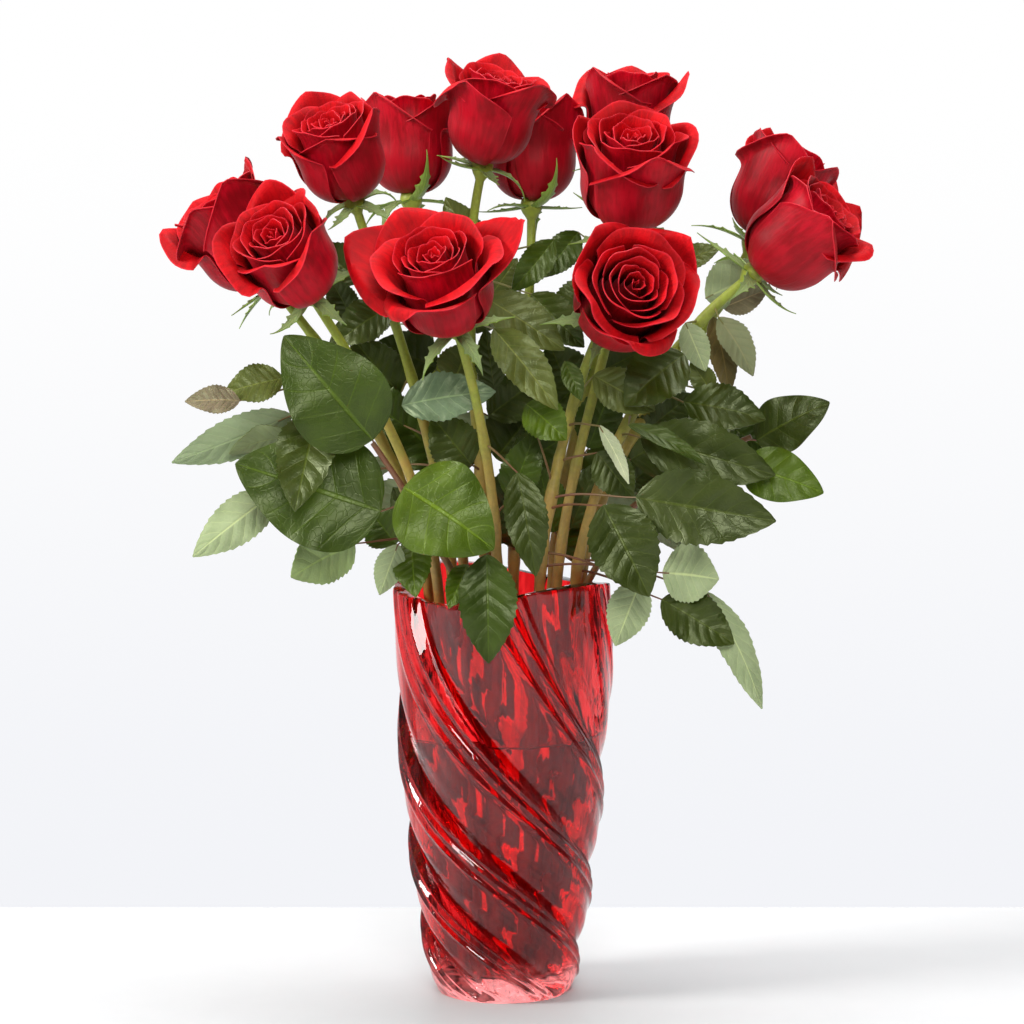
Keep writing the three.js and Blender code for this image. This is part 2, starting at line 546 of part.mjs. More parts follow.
function makeSepal(rose, number, count) {
  const frame = frameOf(rose.face).setPosition(...rose.hip);
  const turn = radians(rose.spin + (360 / SEPALS) * count + 14 * (draw(number, count) - 0.5));
  const out = vec(Math.cos(turn), Math.sin(turn), 0);
  const across = vec(-Math.sin(turn), Math.cos(turn), 0);
  const raised = rose.raised === count;
  const start = radians(raised ? RAISED_START : mix(82, 102, draw(number + 3, count)));
  const end = radians(raised ? RAISED_END : mix(40, 195, draw(number, count + 9)));
  const longer = raised ? RAISED_LENGTH : mix(0.85, 1.15, draw(number + 5, count));
  const step = (SEPAL_LENGTH * rose.size * longer) / SEPAL_STEPS;
  const at = out.clone().multiplyScalar((HIP_RADIUS - 2) * rose.size).add(vec(0, 0, -3.4 * rose.size));
  const grid = [];
  const normals = [];
  for (let k = 0; k <= SEPAL_STEPS; k++) {
    const angle = mix(start, end, (k / SEPAL_STEPS) ** 1.5);
    const half = (SEPAL_WIDTH / 2) * rose.size * SEPAL_OUTLINE[k];
    const normal = out.clone().multiplyScalar(-Math.cos(angle)).add(vec(0, 0, Math.sin(angle)));
    normal.transformDirection(frame);
    grid.push([-half, half].map((aside) => at.clone().addScaledVector(across, aside).applyMatrix4(frame)));
    normals.push([normal, normal]);
    const onward = mix(start, end, ((k + 0.5) / SEPAL_STEPS) ** 1.5);
    at.addScaledVector(out, step * Math.sin(onward)).add(vec(0, 0, step * Math.cos(onward)));
  }
  return blade(grid, normals, () => LEAF_THICKNESS);
}

// ---- Blooms -------------------------------------------------------------------------------------------
// A petal is a bowl that turns upright at its waist, nested in the next one out, with sides that fold back.
// Pairs are the values at the heart and at the outermost petal.
const PETAL_WAIST = 0.42; // share of the petal's length where it turns upright
const PETAL_TUCK = 0.6; // one edge lies this far in and the other this far out, as on a spiral
const ROOT_RADIUS = [1.2, 4.2];
const ROOT_HEIGHT = [13, 0.8];
const HEART_WAIST_RADIUS = 3;
const BUD_WAIST_RADIUS = 22;
const BLOWN_WAIST_RADIUS = 26.5;
const WAIST_HEIGHT = [24, 22];
const UPPER_LENGTH = [25, 33];
const HALF_ANGLE = [1.5, 0.95];
const FOLD_TIP = [0.55, 0.93]; // share of the part above the waist where the fold starts, at the tip
const FOLD_SIDE = [0.4, 0.22]; // and at the sides
const CREASE = [0.6, 0.16]; // share of the part above that the fold takes
const EDGE_DROP = [0.1, 0.36]; // how much shorter the sides are than the tip
const TIP_SHAPE = [2, 1.35]; // 2 for a round end, less for a pointed one
const OUTER_FROM = 0.62; // share of the petals from which they count as outer ones

function petalShape(rose, number, index) {
  const outward = index / (PETALS_IN_A_ROSE - 1);
  const outer = ease((outward - OUTER_FROM) / (1 - OUTER_FROM));
  const chance = (n) => draw(number * 31 + index, n) - 0.5;
  const closing = mix(-10, mix(-8, 4, rose.open), outward);
  const rolling = mix(8, mix(24, 60, rose.open), outward) * (1 - 0.5 * outer);
  const folding = (64 + 30 * rose.flare) * outer * (1 + 0.8 * chance(2));
  const longer = 1 + (0.2 * rose.flare - 0.06 + 0.25 * chance(7)) * outer;
  return {
    rootRadius: mix(...ROOT_RADIUS, outward),
    rootHeight: mix(...ROOT_HEIGHT, outward),
    waistRadius: mix(HEART_WAIST_RADIUS, mix(BUD_WAIST_RADIUS, BLOWN_WAIST_RADIUS, rose.open), outward),
    waistHeight: mix(...WAIST_HEIGHT, outward),
    upperLength: mix(...UPPER_LENGTH, outward) * (1 + 0.08 * chance(1)) * longer,
    stand: radians(closing + (10 + 30 * rose.flare ** 2) * outer),
    roll: radians(rolling + folding),
    halfAngle: mix(...HALF_ANGLE, outward ** 0.5) * (1 + 0.08 * chance(3)),
    centre: radians(index * GOLDEN_ANGLE + rose.spin + 14 * chance(4)),
    skew: 0.5 * chance(5) * outer,
    foldTip: mix(...FOLD_TIP, outer),
    foldSide: mix(...FOLD_SIDE, outer),
    crease: mix(...CREASE, outer),
    drop: mix(...EDGE_DROP, outer),
    tip: mix(...TIP_SHAPE, outer),
  };
}

// Point of a petal in its bloom's frame, axis +Z: across from -1 to 1, share of the way from root to edge.
function petalPoint(shape, across, share) {
  const s = share * (1 - shape.drop * Math.abs(across) ** shape.tip);
  const wide = shape.waistRadius + PETAL_TUCK * across;
  const bowl = (clamp01(s / PETAL_WAIST) * Math.PI) / 2;
  let r = mix(shape.rootRadius, wide, Math.sin(bowl));
  let z = mix(shape.waistHeight, shape.rootHeight, Math.cos(bowl));
  const above = (s - PETAL_WAIST) / (1 - PETAL_WAIST);
  const start = mix(shape.foldTip, shape.foldSide, clamp01(Math.abs(across + shape.skew)) ** 1.1);
  const steps = 8;
  for (let k = 0; k < steps && above > 0; k++) {
    const along = (above * (k + 0.5)) / steps;
    const angle = shape.stand * ease(along * 2) + shape.roll * ease((along - start) / shape.crease);
    r += (Math.sin(angle) * shape.upperLength * above) / steps;
    z += (Math.cos(angle) * shape.upperLength * above) / steps;
  }
  const widening = Math.sin((Math.PI / 2) * clamp01(s / 0.6));
  const narrowing = 1 - 0.12 * ease((s - 0.6) / 0.4);
  const turn = shape.centre + across * shape.halfAngle * mix(0.6, 1, widening) * narrowing;
  return vec(r * Math.cos(turn), r * Math.sin(turn), z);
}

function makePetal(rose, number, { index, rows, across }) {
  const shape = petalShape(rose, number, index);
  const columns = Array.from({ length: across + 1 }, (_, i) => (2 * i) / across - 1);
  const grid = rows.map((share) => columns.map((u) => petalPoint(shape, u, share).multiplyScalar(rose.size)));
  return blade(grid, gridNormals(grid), () => PETAL_THICKNESS);
}

// Solid the petals spring from: a shallow bowl under the bloom that narrows to the tight heart.
const HEART_PROFILE = [[0, 0], [6, 0], [10, 3.5], [10, 10], [6.5, 20], [5, 42], [0, 43]];
const HEART_SIDES = 6;

function makeBloom(rose, number) {
  const profile = HEART_PROFILE.map(([r, z]) => new THREE.Vector2(r, z).multiplyScalar(rose.size));
  const heart = turned(profile, HEART_SIDES);
  const petals = PETALS.map((petal) => makePetal(rose, number, petal));
  const frame = frameOf(rose.face).setPosition(...rose.hip);
  return largest(union([heart, ...petals]).transform(frame.elements));
}

// ---- Leaves -------------------------------------------------------------------------------------------
// A leaf on its stalk: a thin blade, folded along its midrib, arched and with a waved edge.
function makeLeaf(leaf, kind, stem) {
  const { peak, fullness, tooth, fold } = LEAF_KINDS[kind];
  const base = from(leaf.base);
  const along = from(leaf.tip).sub(base);
  const length = along.length();
  const steps = length > SMALL_LEAF ? 4 : 3;
  along.normalize();
  const face = from(leaf.face);
  face.addScaledVector(along, -face.dot(along)).normalize();
  const side = along.clone().cross(face);
  const lift = radians(fold);
  const rowAt = (middle, half, raise) =>
    [-1, 0, 1].map((edge) =>
      middle
        .clone()
        .addScaledVector(side, edge * half * Math.cos(raise))
        .addScaledVector(face, Math.abs(edge) * half * Math.sin(raise)),
    );
  const grid = [rowAt(pointAtHeight(stem, leaf.at), STALK_WIDTH / 2, 0)];
  for (let k = 0; k <= steps; k++) {
    const t = k / steps;
    const outline = Math.sin(Math.PI * t ** peak) ** fullness;
    const wave = k % 2 === 0 ? 1 - tooth : 1 + tooth;
    const half = Math.max(STALK_WIDTH / 2, (leaf.width / 2) * outline * wave);
    const arch = leaf.bend * Math.sin(Math.PI * t);
    const middle = base.clone().addScaledVector(along, length * t).addScaledVector(face, arch);
    grid.push(rowAt(middle, half, half > STALK_WIDTH ? lift : 0));
  }
  return blade(grid, gridNormals(grid), (row) => (row < 2 ? STALK_THICKNESS : LEAF_THICKNESS));
}

// ---- Water --------------------------------------------------------------------------------------------
function makeWater(lines) {
  const holes = lines.map(([line, radius]) => {
    const [foot, neck] = line;
    const along = neck.clone().sub(foot).normalize();
    const bottom = foot.clone().addScaledVector(along, -5);
    return limb([bottom, neck], [radius + HOLE_CLEARANCE, radius + HOLE_CLEARANCE], STEM_SIDES);
  });
  return turned(cavityProfile(GAP, WATER_LEVEL), CAVITY_SIDES).subtract(union(holes));
}

// ---- Assembly -----------------------------------------------------------------------------------------
const bouquet = new THREE.Group();
bouquet.name = "roses_in_a_vase";
const clear = (color, roughness, opacity) =>
  new THREE.MeshStandardMaterial({ color, roughness, transparent: true, opacity });
const rubyGlass = clear(0xa50f1b, 0.05, 0.7);
const clearWater = clear(0xdfe9ec, 0.02, 0.35);
const petalRed = new THREE.MeshStandardMaterial({ color: 0xa80c18, roughness: 0.6 });
const roseGreen = new THREE.MeshStandardMaterial({ color: 0x3d5420, roughness: 0.45 });
const broadGreen = new THREE.MeshStandardMaterial({ color: 0x3f6b18, roughness: 0.35 });

function add(name, solid, material) {
  const mesh = new THREE.Mesh(geometryOf(solid), material);
  mesh.name = name;
  bouquet.add(mesh);
}

add("vase", makeVase(), rubyGlass);
add("water", makeWater([
  ...ROSES.map((rose) => [roseStemLine(rose), STEM_FOOT_RADIUS]),
  ...TWIGS.map((twig) => [twigLine(twig), TWIG_FOOT_RADIUS]),
]), clearWater);

ROSES.forEach((rose, k) => {
  const label = String(k + 1).padStart(2, "0");
  add(`rose_${label}_bloom`, makeBloom(rose, k), petalRed);
  const sepals = Array.from({ length: SEPALS }, (_, n) => makeSepal(rose, k, n));
  const line = roseStemLine(rose);
  const leaves = ROSE_LEAVES[k + 1].map((leaf, n) => makeLeaf(leaf, "rose", line));
  add(`rose_${label}_stem`, union([makeRoseStem(rose), ...sepals, ...leaves]), roseGreen);
});

TWIGS.forEach((twig, k) => {
  const line = twigLine(twig);
  const leaves = TWIG_LEAVES[k].map((leaf, n) => makeLeaf(leaf, "broad", line));
  add(`broad_leaf_spray_${k + 1}`, union([makeTwig(twig), ...leaves]), broadGreen);
});

export default bouquet;
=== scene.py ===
"""A dozen red roses with their greenery in a spirally ribbed ruby glass vase, laid out as a Blender add-on.

Lengths in the tables are millimetres; the front of the bouquet faces -Y and the vase stands on Z = 0.
"""

from math import cos, floor, pi, radians, sin

import bpy
import numpy as np
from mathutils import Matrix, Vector


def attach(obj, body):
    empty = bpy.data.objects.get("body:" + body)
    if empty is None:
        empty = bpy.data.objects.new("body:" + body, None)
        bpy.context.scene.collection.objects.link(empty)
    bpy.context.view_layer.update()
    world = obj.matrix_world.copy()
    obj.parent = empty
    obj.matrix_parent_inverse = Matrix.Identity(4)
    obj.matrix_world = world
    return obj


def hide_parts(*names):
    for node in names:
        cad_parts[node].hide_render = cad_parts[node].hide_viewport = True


bl_info = {
    "name": "Roses in a Ribbed Glass Vase",
    "version": (1, 0, 0),
    "blender": (4, 5, 0),
    "location": "View3D > Sidebar > Rose Vase",
    "description": "Models a dozen red roses with their greenery in a spirally ribbed ruby glass vase",
    "category": "Add Mesh",
}

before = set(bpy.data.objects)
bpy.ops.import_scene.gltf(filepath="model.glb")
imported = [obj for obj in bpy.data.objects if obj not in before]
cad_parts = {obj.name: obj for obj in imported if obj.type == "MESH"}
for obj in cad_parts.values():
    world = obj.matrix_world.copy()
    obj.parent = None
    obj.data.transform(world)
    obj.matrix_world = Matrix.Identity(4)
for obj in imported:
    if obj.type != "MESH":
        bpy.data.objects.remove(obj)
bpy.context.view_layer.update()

MM = 0.001
UV = "UVMap"
TINT = "tint"
MERGE_WITHIN = 2e-6
SMOOTH_BELOW = 48  # degrees between two faces that shade as one surface

# ---- Vase ----
HEEL_HEIGHT = 6
HEEL_INSET = 1.5
FLOOR = 14
CAVITY_CORNER = 8
LOBES = 5
LOBE_START = 13  # degrees right of the front, where a groove meets the rim
# One lobe across its 72 degrees, leftwards: share of the way round, and height of the glass there.
LOBE_RELIEF = [
    (0, -5.6), (0.05, 0.8), (0.1, 0), (0.17, 2.3), (0.235, 1),
    (0.3, 2.8), (0.37, 1.3), (0.6, 1), (0.85, -2.2), (1, -5.6),
]
RELIEF_FADE_FOOT = 9
RIM_ROUND = 1.6
RIM_RISE = 2
RIM_WAVE = 5
RIM_WAVES = 2
RIM_CREST = 45  # degrees right of the front
RIM_WAVE_FROM = 150  # height where the wave begins
RIM_EDGE = (0.3, 0.35)  # in from the wall and down from the top, where the rim's rounding starts
OUTSIDE_RINGS = 92
INSIDE_RINGS = 24
LOBE_POINTS = 36

# ---- Water ----
WATER_INTO_GLASS = 0.2
WATER_SIDES = 72
WATER_RINGS = 16
# The edge of the water's surface: how far in from the glass, and how far under the water level.
MENISCUS = [(1.0, 0.9), (2.5, 1.4)]
WATER_DIP = 1.5

# ---- Roses ----
PETALS_IN_A_ROSE = 22  # numbered from the heart outwards
GOLDEN_ANGLE = 137.5
PETAL_WAIST = 0.42  # share of the petal's length where it turns upright
PETAL_TUCK = 0.6  # how far in one side of a petal lies, and the other out, so that neighbours overlap
OUTER_FROM = 0.62  # share of the petals, from the heart, that don't fold back
HIP_RADIUS = 6
HIP_HEIGHT = 10
STEM_FOOT_HEIGHT = FLOOR + 0.65
NECK_HEIGHT = 232
STEM_FOOT_RADIUS = 3.1
STEM_TOP_RADIUS = 2.5
STEM_SIDES = 12
SEPALS = 5
SEPAL_LENGTH = 29
SEPAL_WIDTH = 7
SEPAL_ROWS = 24
SEPAL_SPIKES = (0.42, 0.62)
SEPAL_GREEN = (0.24, 0.36, 0.06)
# The sepal that rises against its bloom: degrees from the axis at its start and its tip, and extra length.
RAISED_START = 75
RAISED_END = -15
RAISED_LENGTH = 1.35
# The hip, from the stem up into the bloom: how far under the start of the bloom, and its radius.
HIP_PROFILE = [
    (8, 3.5), (6.5, 4.6), (4.5, 5.6), (3, HIP_RADIUS),
    (1.4, HIP_RADIUS), (0.35, 5.8), (-1.2, 5.4), (-3.5, 3.6),
]
PETAL_GRID = (20, 26)
FOLD_STEPS = 16

# The roses. hip: where the bloom starts. face: where it looks. open: 0 a bud, 1 blown. flare: how far the
# outer petals fold back. spin: its turn in degrees. neck and foot: where the stem passes the rim and meets
# the floor of the vase. raised: which sepal stands up against the bloom, if one does.
ROSE_COLUMNS = ("hip", "face", "size", "open", "flare", "spin", "neck", "foot", "raised")
ROSE_ROWS = [
    ((-129, -16, 406), (-0.6, -0.05, 0.8), 1.1, 0.45, 0.6, 20, (-42, -6), (-21, -4)),
    ((-106, -62, 405), (-0.38, -0.62, 0.7), 1.05, 0.6, 0.35, 115, (-36, -24), (-17, -13)),
    ((-83, -15, 452), (-0.27, -0.33, 0.9), 1, 0.6, 0.45, 140, (-28, -5), (-11, -5)),
    ((-52, 45, 448), (-0.05, 0.12, 0.99), 1.06, 0.3, 0.45, 10, (-22, 22), (-12, 8), 4),
    ((-11, 0, 470), (0.2, -0.15, 0.97), 1, 0.5, 0.85, 220, (-9, 6), (-2, 3)),
    ((16, 58, 443), (0, 0.12, 0.99), 1.05, 0.3, 0.4, 300, (6, 32), (3, 15), 0),
    ((69, -18, 439), (0.05, -0.45, 0.88), 1.15, 0.6, 0.45, 274, (30, -7), (13, -3)),
    ((70, 50, 465), (0.05, 0.05, 1), 1, 0.35, 0.7, 132, (28, 22), (13, 9)),
    ((-26, -70, 388), (-0.22, -0.56, 0.79), 1.1, 0.75, 1.25, 170, (-3, -30), (-3, -16)),
    ((59, -54, 390), (0.25, -0.85, 0.45), 1.1, 0.9, 0.6, 30, (20, -31), (9, -13)),
    ((141, 22, 426), (0.42, 0.15, 0.88), 1.06, 0.35, 0.45, 274, (44, 9), (20.6, 6.8)),
    ((140, -28, 413), (0.74, -0.2, 0.64), 1.12, 0.55, 0.5, 330, (40, -18), (19, -10)),
]
ROSES = [dict(zip(ROSE_COLUMNS, row)) for row in ROSE_ROWS]

TWIG_FOOT_RADIUS = 2.3
TWIG_TOP_RADIUS = 1.5
TWIG_SIDES = 10
TWIG_DRAWS = 200  # where the draws for twig leaves start, after those for rose leaves
# Twigs of broad, smooth-edged leaves; way: points the twig passes above the rim.
TWIGS = [
    dict(neck=(-20, -38), foot=(-10, -20), way=[(-42, -62, 275), (-55, -78, 300), (-71, -78, 324)]),
    dict(neck=(46, -4), foot=(20.5, -1.5), way=[(70, -8, 276), (104, -18, 304), (138, -24, 320)]),
]

# ---- Greenery ----
# peak: below 1, a leaf is widest nearer its base. fullness: below 1, its outline is rounder. tooth: depth of
# its teeth, as a share of half its width. fold: degrees that each half rises from the midrib.
LEAF_KINDS = {
    "rose": dict(peak=0.8, fullness=0.8, tooth=0.06, teeth=13, fold=16),
    "broad": dict(peak=0.66, fullness=0.72, tooth=0.0, teeth=1, fold=9),
}
TONES = {
    "dark": (0.034, 0.050, 0.003),
    "green": (0.034, 0.062, 0.001),
    "bright": (0.072, 0.125, 0.0015),
    "lime": (0.190, 0.290, 0.045),
    "olive": (0.095, 0.115, 0.022),
    "bronze": (0.120, 0.085, 0.028),
    "taupe": (0.230, 0.185, 0.120),
    "pale": (0.380, 0.450, 0.245),
    "cream": (0.600, 0.600, 0.430),
    "grey": (0.130, 0.190, 0.110),
}

LEAF_GRID = (12, 54)
LEAF_LEAST = 0.5  # half width at the base and the tip
STALK_RADII = (0.8, 0.35)
STALK_SIDES = 6
NODE_SWELL = 0.22  # how much thicker the stem is where a leaf stalk leaves it
NODE_REACH = 5
FRONT = (0, -1, 0.1)
SMALL_BEND = 2

# Leaves of each rose: height on the stem, leaf base, leaf tip, width, where the upper side faces, bend, tone.
# Where a row leaves out two of them, the leaf faces the FRONT with a SMALL_BEND.
ROSE_LEAVES = {1: [
    (340, (-117, -32, 333), (-183, -42, 308), 25, (0.2, 1, 0.1), -5, "grey"),
    (372, (-122, -20, 352), (-155, -24, 344), 23, (0.1, -0.9, 0.4), 3, "olive"),
    (350, (-146, -30, 341), (-176, -34, 341), 17, (0.1, -0.9, 0.4), 2, "taupe"),
    (318, (-116, -45, 323), (-151, -50, 314), 20, (0, 0.8, 0.6), 3, "olive"),
    (300, (-126, -30, 290), (-172, -40, 255), 27, (0.3, 1, 0), -6, "pale"),
    (246, (-60, -14, 258), (-75, -14, 278), 26, "green"),
], 2: [
    (345, (-101, -60, 341), (-113, -96, 289), 36, (-0.2, -0.9, 0.5), 1, "dark"),
    (262, (-82, -50, 264), (-117, -56, 246), 34, (0, 1, 0.2), 3, "lime"),
    (256, (-50, -42, 264), (-48, -63, 236), 24, (-0.2, -1, 0.2), 3, "bright"),
    (270, (-58, -54, 264), (-68, -61, 237), 17, (0, 1, 0.1), 2, "pale"),
], 3: [
    (328, (-56, -28, 338), (-4, -30, 346), 29, (0.1, -0.9, 0.4), 4, "grey"),
    (385, (-62, -24, 393), (-93, -28, 372), 26, (-0.1, -0.9, 0.4), 3, "dark"),
    (402, (-80, 2, 404), (-104, 6, 424), 26, "dark"),
    (395, (-84, -4, 384), (-97, -8, 408), 18, "dark"),
    (352, (-58, 10, 339), (-85, 8, 372), 30, "dark"),
    (300, (-56, 8, 300), (-98, 20, 282), 30, (0, 0.5, 0.85), 4, "green"),
    (246, (-36, 13, 250), (-62, 14, 286), 32, "dark"),
    (316, (-56, 9, 322), (-84, 10, 342), 30, "green"),
], 4: [
    (380, (-58, 30, 385), (-98, 24, 366), 28, (0, -0.6, 0.8), 3, "dark"),
    (330, (-50, 34, 330), (-96, 42, 312), 30, (0, 0.7, 0.7), 4, "green"),
    (285, (-42, 34, 282), (-84, 48, 258), 30, (-0.2, 0.8, 0.6), 4, "dark"),
    (352, (-28, 44, 354), (-8, 62, 330), 28, (0, 0.9, 0.4), 3, "green"),
    (256, (-24, 19, 262), (-38, 19, 308), 34, "green"),
    (348, (-38, 28, 352), (-70, 24, 368), 32, "dark"),
    (296, (-34, 38, 296), (-66, 40, 330), 38, "green"),
    (338, (-28, 26, 344), (-18, 22, 368), 28, "olive"),
], 5: [
    (395, (-10, -33, 399), (34, -37, 370), 28, (0, -0.9, 0.4), 2, "olive"),
    (378, (-5, -47, 383), (30, -62, 340), 26, (0.3, -0.9, 0), 4, "olive"),
    (410, (-14, 14, 420), (-32, 12, 450), 23, (0, -0.9, -0.3), 2, "olive"),
    (412, (28, -8, 428), (5, -14, 400), 19, (0.2, -0.9, 0.2), 3, "green"),
    (340, (-5, 6, 343), (-10, 6, 377), 18, "dark"),
    (330, (-8, 18, 326), (24, 16, 350), 28, (0, -0.9, 0.2), 3, "dark"),
    (252, (-8, 13, 258), (14, 14, 300), 34, "dark"),
    (292, (-16, 13, 300), (-44, 16, 318), 34, "olive"),
    (296, (-18, -7, 302), (-40, -10, 330), 30, "dark"),
    (250, (-14, -14, 262), (-30, -16, 294), 28, "green"),
    (405, (16, -18, 399), (45, -24, 370), 24, "dark"),
    (396, (-6, 12, 396), (8, 10, 416), 18, "olive"),
], 6: [
    (385, (6, 38, 390), (-24, 26, 372), 26, (0, -0.8, 0.5), 3, "dark"),
    (300, (14, 52, 298), (20, 86, 270), 34, (0, 0.6, 0.8), 4, "green"),
    (322, (-4, 54, 318), (-38, 68, 294), 32, (0, 0.8, 0.6), 4, "dark"),
    (292, (-4, 31, 300), (22, 31, 334), 38, "dark"),
    (246, (6, 26, 250), (8, 27, 292), 36, "dark"),
    (242, (2, 40, 250), (-12, 42, 290), 36, "green"),
    (318, (22, 48, 320), (42, 48, 340), 22, "dark"),
], 7: [
    (405, (92, -4, 412), (121, -8, 424), 16, (0, -0.9, 0.4), 2, "olive"),
    (412, (42, 18, 430), (22, 12, 405), 20, (0.2, -0.9, 0.3), 3, "green"),
    (300, (48, 16, 308), (62, 17, 346), 28, "green"),
    (258, (29, 4, 262), (20, 4, 300), 26, "green"),
], 8: [
    (400, (56, 32, 397), (26, 20, 373), 31, (0, -0.9, 0.3), 3, "dark"),
    (350, (66, 44, 348), (106, 58, 326), 32, (0, 0.7, 0.7), 4, "green"),
    (290, (50, 38, 286), (88, 56, 260), 30, (0, 0.7, 0.7), 4, "dark"),
    (256, (38, 18, 262), (54, 20, 300), 24, "dark"),
    (290, (6, 22, 296), (36, 22, 314), 30, "green"),
    (330, (38, 30, 338), (26, 28, 366), 34, "dark"),
    (244, (34, 32, 250), (52, 34, 290), 32, "green"),
    (274, (48, 27, 284), (74, 28, 310), 32, "dark"),
    (248, (40, 34, 240), (47, 40, 270), 26, "dark"),
    (338, (55, 34, 349), (80, 34, 362), 22, "dark"),
    (276, (70, 36, 282), (88, 36, 300), 20, "dark"),
], 9: [
    (268, (-9, -58, 259), (-8, -68, 200), 34, (0.05, -1, 0.15), 3, "green"),
    (246, (-20, -50, 252), (-30, -64, 230), 16, (0.1, -1, 0.2), 2, "bright"),
    (318, (8, -60, 305), (18, -70, 249), 25, (0.1, -1, 0.1), 3, "dark"),
    (276, (4, -18, 284), (18, -18, 322), 24, "green"),
], 10: [
    (292, (13, -38, 340), (35, -45, 321), 25, (0, -0.9, 0.3), 3, "bright"),
    (350, (34, -56, 366), (43, -61, 345), 12, (0, -0.9, 0.4), 2, "green"),
    (326, (53, -60, 331), (69, -68, 300), 10, (0.5, 0.8, 0), 2, "cream"),
    (286, (73, -72, 293), (149, -86, 282), 43, (0, -1, 0.15), 6, "dark"),
    (280, (55, -74, 289), (80, -84, 240), 40, (0.1, -1, 0.1), 4, "dark"),
    (248, (88, -58, 249), (119, -62, 246), 36, (0, 1, 0.1), 2, "pale"),
    (256, (76, -56, 244), (62, -64, 209), 25, (0, 1, 0), 2, "pale"),
    (306, (52, -38, 313), (72, -39, 288), 24, "dark"),
    (340, (50, -38, 356), (84, -42, 337), 25, (0, -1, 0.2), 2, "olive"),
], 11: [
    (390, (113, -2, 395), (149, -6, 411), 32, (0, 1, 0.1), 3, "pale"),
    (380, (117, 0, 384), (126, -5, 341), 18, (0.3, -0.9, 0), 4, "bronze"),
    (392, (123, 4, 389), (148, 0, 400), 17, "taupe"),
    (330, (92, 16, 326), (134, 30, 304), 32, (0, 0.5, 0.85), 4, "green"),
    (275, (66, 18, 272), (104, 30, 246), 28, (0, 0.7, 0.7), 4, "dark"),
    (298, (72, 14, 302), (104, 12, 320), 40, "dark"),
    (318, (84, 8, 322), (106, 8, 340), 22, "dark"),
    (322, (128, 2, 322), (150, 0, 308), 22, "green"),
], 12: [
    (320, (76, -50, 323), (150, -56, 303), 37, (0, -1, 0.2), 5, "dark"),
    (330, (69, -64, 332), (111, -72, 311), 13, (0, -0.6, 0.8), 3, "green"),
    (346, (100, -36, 341), (145, -42, 332), 28, (0, -0.9, 0.4), 4, "dark"),
    (365, (100, -40, 368), (67, -52, 341), 36, (-0.1, -0.9, 0.4), 4, "dark"),
    (384, (101, -28, 384), (112, -34, 358), 17, (0, 1, 0.1), 2, "pale"),
    (350, (116, -22, 345), (104, -22, 362), 15, "olive"),
    (392, (119, -36, 388), (138, -40, 356), 19, (0.4, 0.9, 0), 4, "bronze"),
    (250, (113, -34, 234), (144, -44, 170), 21, (-0.4, 0.9, 0), -8, "pale"),
    (244, (88, -46, 232), (128, -52, 208), 30, (0, -0.9, 0.3), 3, "dark"),
]}

# Leaves of each twig, in the same columns.
TWIG_LEAVES = [[
    (322, (-71, -81, 326), (-119, -80, 383), 56, (-0.1, -1, 0.25), 7, "green"),
    (290, (-67, -70, 285), (-147, -60, 310), 66, (-0.1, -0.95, 0.3), 3, "green"),
    (300, (-54, -82, 300), (-5, -90, 267), 56, (0.1, -1, 0.3), 7, "bright"),
], [
    (318, (141, -24, 318), (181, -30, 340), 32, (0, -0.9, 0.4), 4, "dark"),
    (306, (134, -40, 306), (177, -48, 292), 31, (0, -0.95, 0.3), 4, "bright"),
]]


# ---- Numbers ----
SHUFFLE = (12.9898, 78.233, 43758.5453)
UPRIGHT = 0.95  # a bloom whose direction rises more than this takes Y as its reference


def mix(a, b, t):
    return a + (b - a) * t


def ease(t):
    t = np.clip(t, 0, 1)
    return t * t * (3 - 2 * t)


def draw(a, b):
    """A repeatable number from 0 to 1 for a pair of counts."""
    first, second, spread = SHUFFLE
    wide = sin(a * first + b * second) * spread
    return wide - floor(wide)


def point(*parts):
    return np.array(parts, float)


def unit(v):
    v = np.asarray(v, float)
    return v / np.linalg.norm(v)


def on_its_hip(rose, local):
    """Brings points of a bloom's own frame, whose Z is the way it looks, to their place in the bouquet."""
    z = unit(rose["face"])
    reference = point(0, 1, 0) if abs(z[2]) > UPRIGHT else point(0, 0, 1)
    x = unit(np.cross(reference, z))
    return local * rose["size"] @ np.array([x, np.cross(z, x), z]) + point(*rose["hip"])


# ---- Shapes ----
def select_only(*objects):
    """Selects these objects and nothing else; the first is the active one."""
    bpy.ops.object.select_all(action="DESELECT")
    for each in reversed(objects):
        each.select_set(True)
        bpy.context.view_layer.objects.active = each


def add_sheet(place, across, along):
    """A grid, shaped point by point: place takes how far across, -1 to 1, and how far along, 0 to 1."""
    select_only()
    bpy.ops.mesh.primitive_grid_add(x_subdivisions=across, y_subdivisions=along, size=2)
    sheet = bpy.context.object
    flat = np.empty(len(sheet.data.vertices) * 3, np.float32)
    sheet.data.vertices.foreach_get("co", flat)
    flat = flat.reshape(-1, 3).astype(float)
    shaped = place(np.clip(flat[:, 0], -1, 1), np.clip((flat[:, 1] + 1) / 2, 0, 1))
    sheet.data.vertices.foreach_set("co", (shaped * MM).astype(np.float32).ravel())
    sheet.data.update()
    return sheet


def close_up(piece):
    """Joins the two long edges of a rolled sheet and gathers its ends to points."""
    select_only(piece)
    bpy.ops.object.mode_set(mode="EDIT")
    bpy.ops.mesh.select_all(action="SELECT")
    bpy.ops.mesh.remove_doubles(threshold=MERGE_WITHIN)
    bpy.ops.object.mode_set(mode="OBJECT")
    return piece


